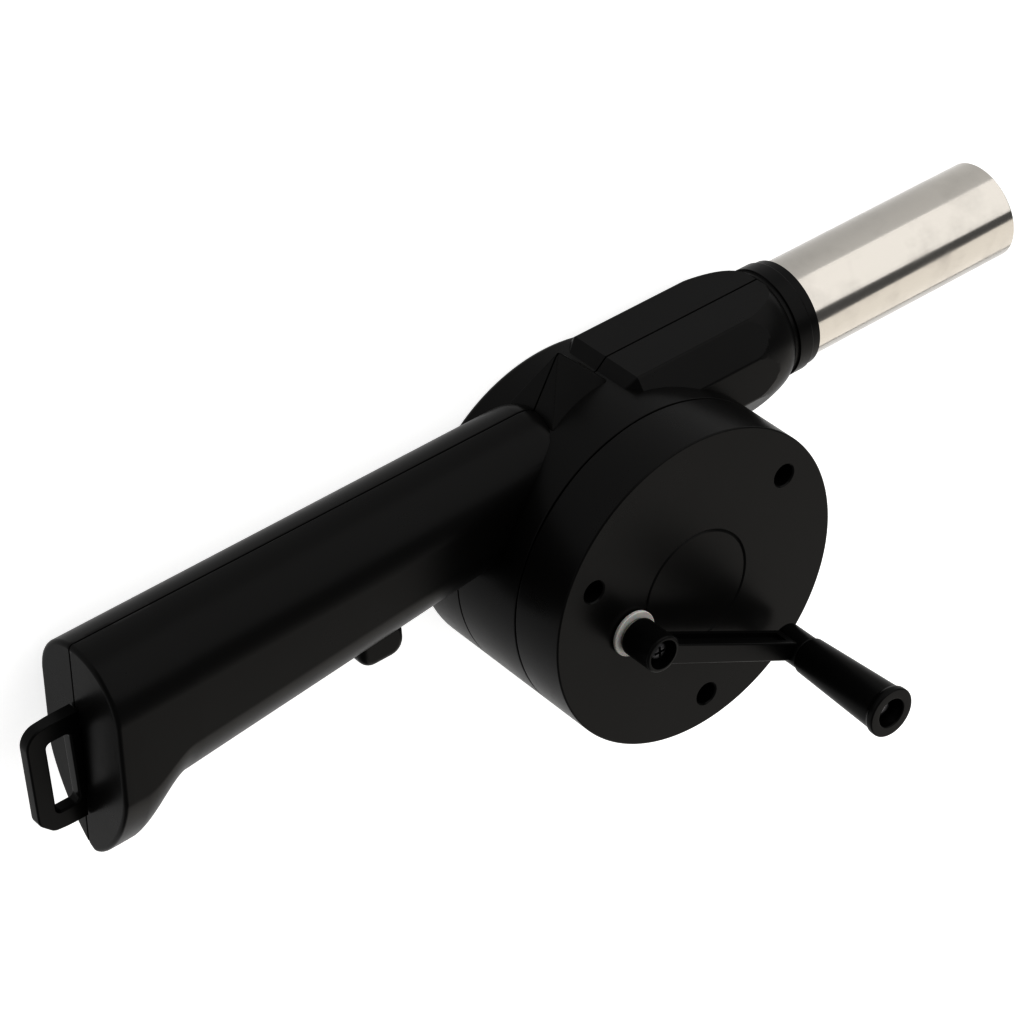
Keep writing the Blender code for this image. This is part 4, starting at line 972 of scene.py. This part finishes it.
# %% The tube and the collar
TUBE_WALL = 0.6 * MM
tube_profile = rectangle(TUBE_R - TUBE_WALL, TUBE_R, tube_low.x, tube_high.x)
tube = solid(lay_on_tube(turned(tube_profile, 160, 0.2 * MM)), "tube")
settle(tube, "air_tube", "housing", "polished_steel", tube_steel, "nozzle_tube")

COLLAR_R = (collar_high.y - collar_low.y) / 2.0
COLLAR_STEP = 0.45 * MM
collar_x = collar_low.x - 0.22 * MM
step_x = collar_low.x + 4.6 * MM
groove_x = collar_low.x + 0.9 * MM
collar_profile = [
    (TUBE_R + GAP, collar_x), (COLLAR_R - 0.5 * MM, collar_x),
    (COLLAR_R - 0.5 * MM, groove_x), (COLLAR_R, groove_x), (COLLAR_R, step_x),
    (COLLAR_R - COLLAR_STEP, step_x + 0.25 * MM), (COLLAR_R - COLLAR_STEP, collar_high.x),
    (TUBE_R + GAP, collar_high.x),
]
collar = solid(lay_on_tube(turned(collar_profile, 128, 0.15 * MM)), "collar")
settle(collar, "tube_collar", "housing", "black_shell_plastic", shell_black, "nozzle_collar")

# %% [markdown]
# ## The crank
#
# The crank is a moulded bar with a groove along each side, a round hub over the square end
# of the shaft, and an eye that carries the knob's pin. It is modelled along +X from the
# shaft and then turned to its place.

# %% The bar, the hub and the eye
arm_low, arm_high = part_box("crank_arm")
knob_low, knob_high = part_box("crank_knob")
KNOB = ((knob_low.x + knob_high.x) / 2.0, (knob_low.y + knob_high.y) / 2.0)
arm_length = math.hypot(KNOB[0] - CRANK[0], KNOB[1] - CRANK[1])
arm_angle = math.atan2(KNOB[1] - CRANK[1], KNOB[0] - CRANK[0])
BAR_LOW = arm_high.z - 7.6 * MM
BAR_HIGH = arm_high.z - 1.3 * MM
HALF_BAR, TAPER = 2.4 * MM, 0.92
HUB_R, EYE_R = 4.4 * MM, 3.9 * MM

arm = solid(turned(rectangle(0.0, HUB_R, arm_low.z, BAR_HIGH), 64, 0.5 * MM), "arm")
slim = HALF_BAR * TAPER
bar = [(0.0, -HALF_BAR), (arm_length, -slim), (arm_length, slim), (0.0, HALF_BAR)]
combine(arm, "UNION", slab(bar, BAR_LOW, BAR_HIGH - 0.02 * MM, 0.0, 0.4 * MM))
eye_profile = rectangle(0.0, EYE_R, BAR_LOW - 0.01 * MM, arm_high.z)
combine(arm, "UNION", turned(eye_profile, 56, 0.4 * MM, (arm_length, 0.0)))
print("arm", round(arm_length / MM, 1), "mm from shaft to pin")

# %% The grooves and the holes of the arm
SQUARE_HALF = 2.5 * MM
RECESS_R, RECESS_DEEP = 3.5 * MM, 1.3 * MM
PIN_HOLE_R = 1.9 * MM

near, far = HUB_R + 1.5 * MM, arm_length - 5.4 * MM
for side in (-1.0, 1.0):
    sides = sorted((side * (HALF_BAR - 1.2 * MM), side * HALF_BAR * 1.3))
    groove = slab(rectangle(near, far, *sides), BAR_LOW + 1.5 * MM, BAR_HIGH - 1.5 * MM)
    combine(arm, "DIFFERENCE", groove)
square = rectangle(-SQUARE_HALF, SQUARE_HALF, -SQUARE_HALF, SQUARE_HALF)
combine(arm, "DIFFERENCE", slab(square, arm_low.z - WALL, CRANK_SEAT))
combine(arm, "DIFFERENCE", upright(RECESS_R, CRANK_SEAT - RECESS_DEEP, arm_high.z))
pin_hole = upright(PIN_HOLE_R, BAR_LOW - WALL, arm_high.z + WALL, (arm_length, 0.0))
combine(arm, "DIFFERENCE", pin_hole)
arm.data.transform(Matrix.Translation((*CRANK, 0.0)) @ Matrix.Rotation(arm_angle, 4, "Z"))
settle(arm, "crank_bar", "crank", "black_crank_plastic", crank_black, "crank_arm")

# %% [markdown]
# The knob is a tapered handle with a rim at its end and a well for the head of its pin. It
# spins freely on the pin, so it rides on its own body. It is one turned profile, and so are
# the pin and the washer under the hub.

# %% The knob
KNOB_ROOT_R, KNOB_END_R, KNOB_RIM_R = 4.3 * MM, 5.45 * MM, 5.9 * MM
KNOB_WELL_R, KNOB_WELL_DEEP = 3.4 * MM, 4.5 * MM
knob_profile = [
    (PIN_HOLE_R, knob_low.z), (KNOB_ROOT_R, knob_low.z),
    (KNOB_END_R, knob_high.z - 2.1 * MM), (KNOB_RIM_R, knob_high.z - 1.6 * MM),
    (KNOB_RIM_R, knob_high.z), (KNOB_WELL_R, knob_high.z),
    (KNOB_WELL_R, knob_high.z - KNOB_WELL_DEEP), (PIN_HOLE_R, knob_high.z - KNOB_WELL_DEEP),
]
knob = solid(turned(knob_profile, 96, 0.45 * MM, KNOB), "knob")
settle(knob, "knob_grip", "knob", "black_crank_plastic", crank_black, "crank_knob")

# %% The pin and the washer
PIN_R, PIN_HEAD_R = 1.6 * MM, 2.6 * MM
pin_low, pin_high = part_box("knob_pin")
head_z = pin_high.z - 1.6 * MM
pin_profile = [
    (0.0, pin_low.z), (PIN_R, pin_low.z), (PIN_R, head_z), (PIN_HEAD_R, head_z),
    (PIN_HEAD_R, head_z + 0.9 * MM), (PIN_R, pin_high.z), (0.0, pin_high.z),
]
pin = solid(turned(pin_profile, 48, 0.25 * MM, KNOB), "pin")
settle(pin, "knob_rivet", "crank", "zinc_screw_steel", screw_zinc, "knob_pin")

WASHER_R = 5.4 * MM
washer_low, washer_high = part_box("hub_washer")
washer_profile = rectangle(SHAFT_HOLE_R, WASHER_R, washer_low.z, washer_high.z)
washer = solid(turned(washer_profile, 72, 0.2 * MM, CRANK), "washer")
settle(washer, "white_washer", "housing", "white_nylon", washer_white, "hub_washer")

# %% [markdown]
# ## Screws
#
# Self-tapping screws hold the cover, the halves and the crank. Only their heads show, deep
# in the wells. One screw is modelled with a pan head, a cross recess and a thread of closed
# rings, and made again at each place, with its head up or down.

# %% One screw, placed seven times
THREADS, PITCH = 8, 0.75
TIP = [(0.0, -8.0), (0.25, -8.0), (0.85, -6.6)]
PAN = [(1.0, -0.2), (1.0, 0.0), (2.2, 0.0), (2.2, 0.7), (1.9, 1.2), (1.3, 1.5), (0.0, 1.6)]
CROSS_LONG, CROSS_SLIM = 1.35, 0.3


def screw_form(place, seat, head_up):
    """A pan-head screw with its seat at a height, from a profile in mm."""
    points = TIP[:]
    for k in range(THREADS):
        z = -6.4 + PITCH * k
        points += [(0.78, z), (1.0, z + 0.2), (0.78, z + 0.4)]
    form = turned([(radius * MM, z * MM) for radius, z in points + PAN], 40)
    item = solid(form, "screw")
    for x, y in ((CROSS_LONG, CROSS_SLIM), (CROSS_SLIM, CROSS_LONG)):
        bar = rectangle(-x * MM, x * MM, -y * MM, y * MM)
        combine(item, "DIFFERENCE", slab(bar, 0.6 * MM, 3.0 * MM))
    turn = Matrix.Rotation(0.0 if head_up else math.pi, 4, "X")
    item.data.transform(Matrix.Translation((*place, seat)) @ turn)
    return item


for number, place in enumerate(cover_places, start=1):
    settle(
        screw_form(place, COVER_SEAT, True), f"cover_fixing_{number}", "housing",
        "zinc_screw_steel", screw_zinc, f"cover_screw_{number}",
    )
for name, place in SCREWS.items():
    settle(
        screw_form(place, SHELL_SEAT, False), f"{name}_fixing", "housing",
        "zinc_screw_steel", screw_zinc, f"{name}_screw",
    )
# The crank's screw takes the dark finish, a painted shade for the recess in the hub.
settle(
    screw_form(CRANK, CRANK_SEAT, True), "crank_fixing", "crank",
    "zinc_screw_steel", screw_painted_shade, "crank_screw",
)

# %% [markdown]
# ## The pieces inside
#
# The fan shows a little through the intake slots, and the gears and shafts are out of
# sight. Their solids already have the right shape, so they stay and only get a finish.

# %% Finishes for the pieces that stay
KEPT = {
    "impeller": fan_black, "fan_shaft": screw_zinc, "fan_pinion": gear_acetal,
    "crank_gear": gear_acetal, "first_idler_gear": gear_acetal,
    "second_idler_gear": gear_acetal, "first_idler_pin": screw_zinc,
    "second_idler_pin": screw_zinc, "crank_gear_pin": screw_zinc, "fan_bush": bush_metal,
}
for node, finish in KEPT.items():
    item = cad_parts[node]
    item.data.materials.clear()
    item.data.materials.append(finish)
print("kept solids:", sorted(KEPT))

# %% [markdown]
# ## Camera, floor and light
#
# The photograph looks down on the drum's front from the side of the handle's back, through
# a long lens and with the camera turned on its side. The camera's place and turn were
# worked out from the drum's ellipse and the ends of the handle and tube.

# %% Camera
AIM = Vector((-0.027328, 0.019610, 0.0218))
BACK = Vector((-0.46895, 0.60640, 0.64215)).normalized()
DISTANCE = 0.843501
ROLL = math.radians(125.5752)
camera = bpy.data.objects.new("camera", bpy.data.cameras.new("camera"))
bpy.context.scene.collection.objects.link(camera)
bpy.context.scene.camera = camera
camera.data.lens = 140.625
camera.data.sensor_width = 36.0
camera.data.clip_start = 0.05
camera.data.clip_end = 20.0
turn = BACK.to_track_quat("Z", "Y").to_matrix().to_4x4() @ Matrix.Rotation(ROLL, 4, "Z")
camera.matrix_world = Matrix.Translation(AIM + BACK * DISTANCE) @ turn
print("camera at", [round(value, 4) for value in camera.location])

# %% [markdown]
# The photograph is a cut-out on white. The floor is a pale table that glows a little, so
# that it comes out white under a light that leaves the black plastic black. Brighter lamps
# could make it white too, but they would wash out the plastic.

# %% Floor
floor_form = bmesh.new()
bmesh.ops.create_grid(floor_form, x_segments=1, y_segments=1, size=6.0)
bmesh.ops.translate(floor_form, verts=floor_form.verts, vec=(0.0, 0.0, -0.05 * MM))
floor = solid(floor_form, "floor")
paper = Finish("paper_white", Roughness=0.9)
paper.set(**{
    "Base Color": (0.40, 0.40, 0.40, 1.0), "Emission Color": (1.0, 1.0, 1.0, 1.0),
    "Emission Strength": 0.85,
})
floor.data.materials.append(paper.material)
print("floor", floor.dimensions)

# %% [markdown]
# Two large panels light the blower, as in a small studio. Both stand where the tube mirrors
# them as long bands, and the far one also stands where the cover mirrors it, which gives
# the cover its soft sheen. A dim white world fills the shadows, and a gamma below 1 keeps
# the dark parts dark, as they are in the photograph.

# %% Soft lights
def softbox(name, place, size, power, tint):
    """A rectangular area light that faces the blower."""
    data = bpy.data.lights.new(name, "AREA")
    data.shape = "RECTANGLE"
    data.size, data.size_y = size
    data.energy = power
    data.color = tint
    lamp = bpy.data.objects.new(name, data)
    bpy.context.scene.collection.objects.link(lamp)
    lamp.location = place
    lamp.rotation_mode = "QUATERNION"
    lamp.rotation_quaternion = (CENTRE - Vector(place)).to_track_quat("-Z", "Y")


CENTRE = Vector((-0.01, 0.01, 0.02))
softbox("front_panel", (0.72, 1.13, 0.75), (2.0, 2.0), 20.0, (1.0, 0.99, 0.98))
softbox("far_panel", (0.70, -1.07, 0.76), (2.0, 1.55), 13.8, (1.0, 0.965, 0.915))
world = bpy.data.worlds.new("studio")
world.use_nodes = True
sky = world.node_tree.nodes["Background"].inputs
sky["Color"].default_value = (1.0, 1.0, 1.0, 1.0)
sky["Strength"].default_value = 0.33
bpy.context.scene.world = world
bpy.context.scene.view_settings.view_transform = "Standard"
bpy.context.scene.view_settings.gamma = 0.62
print("lights set")
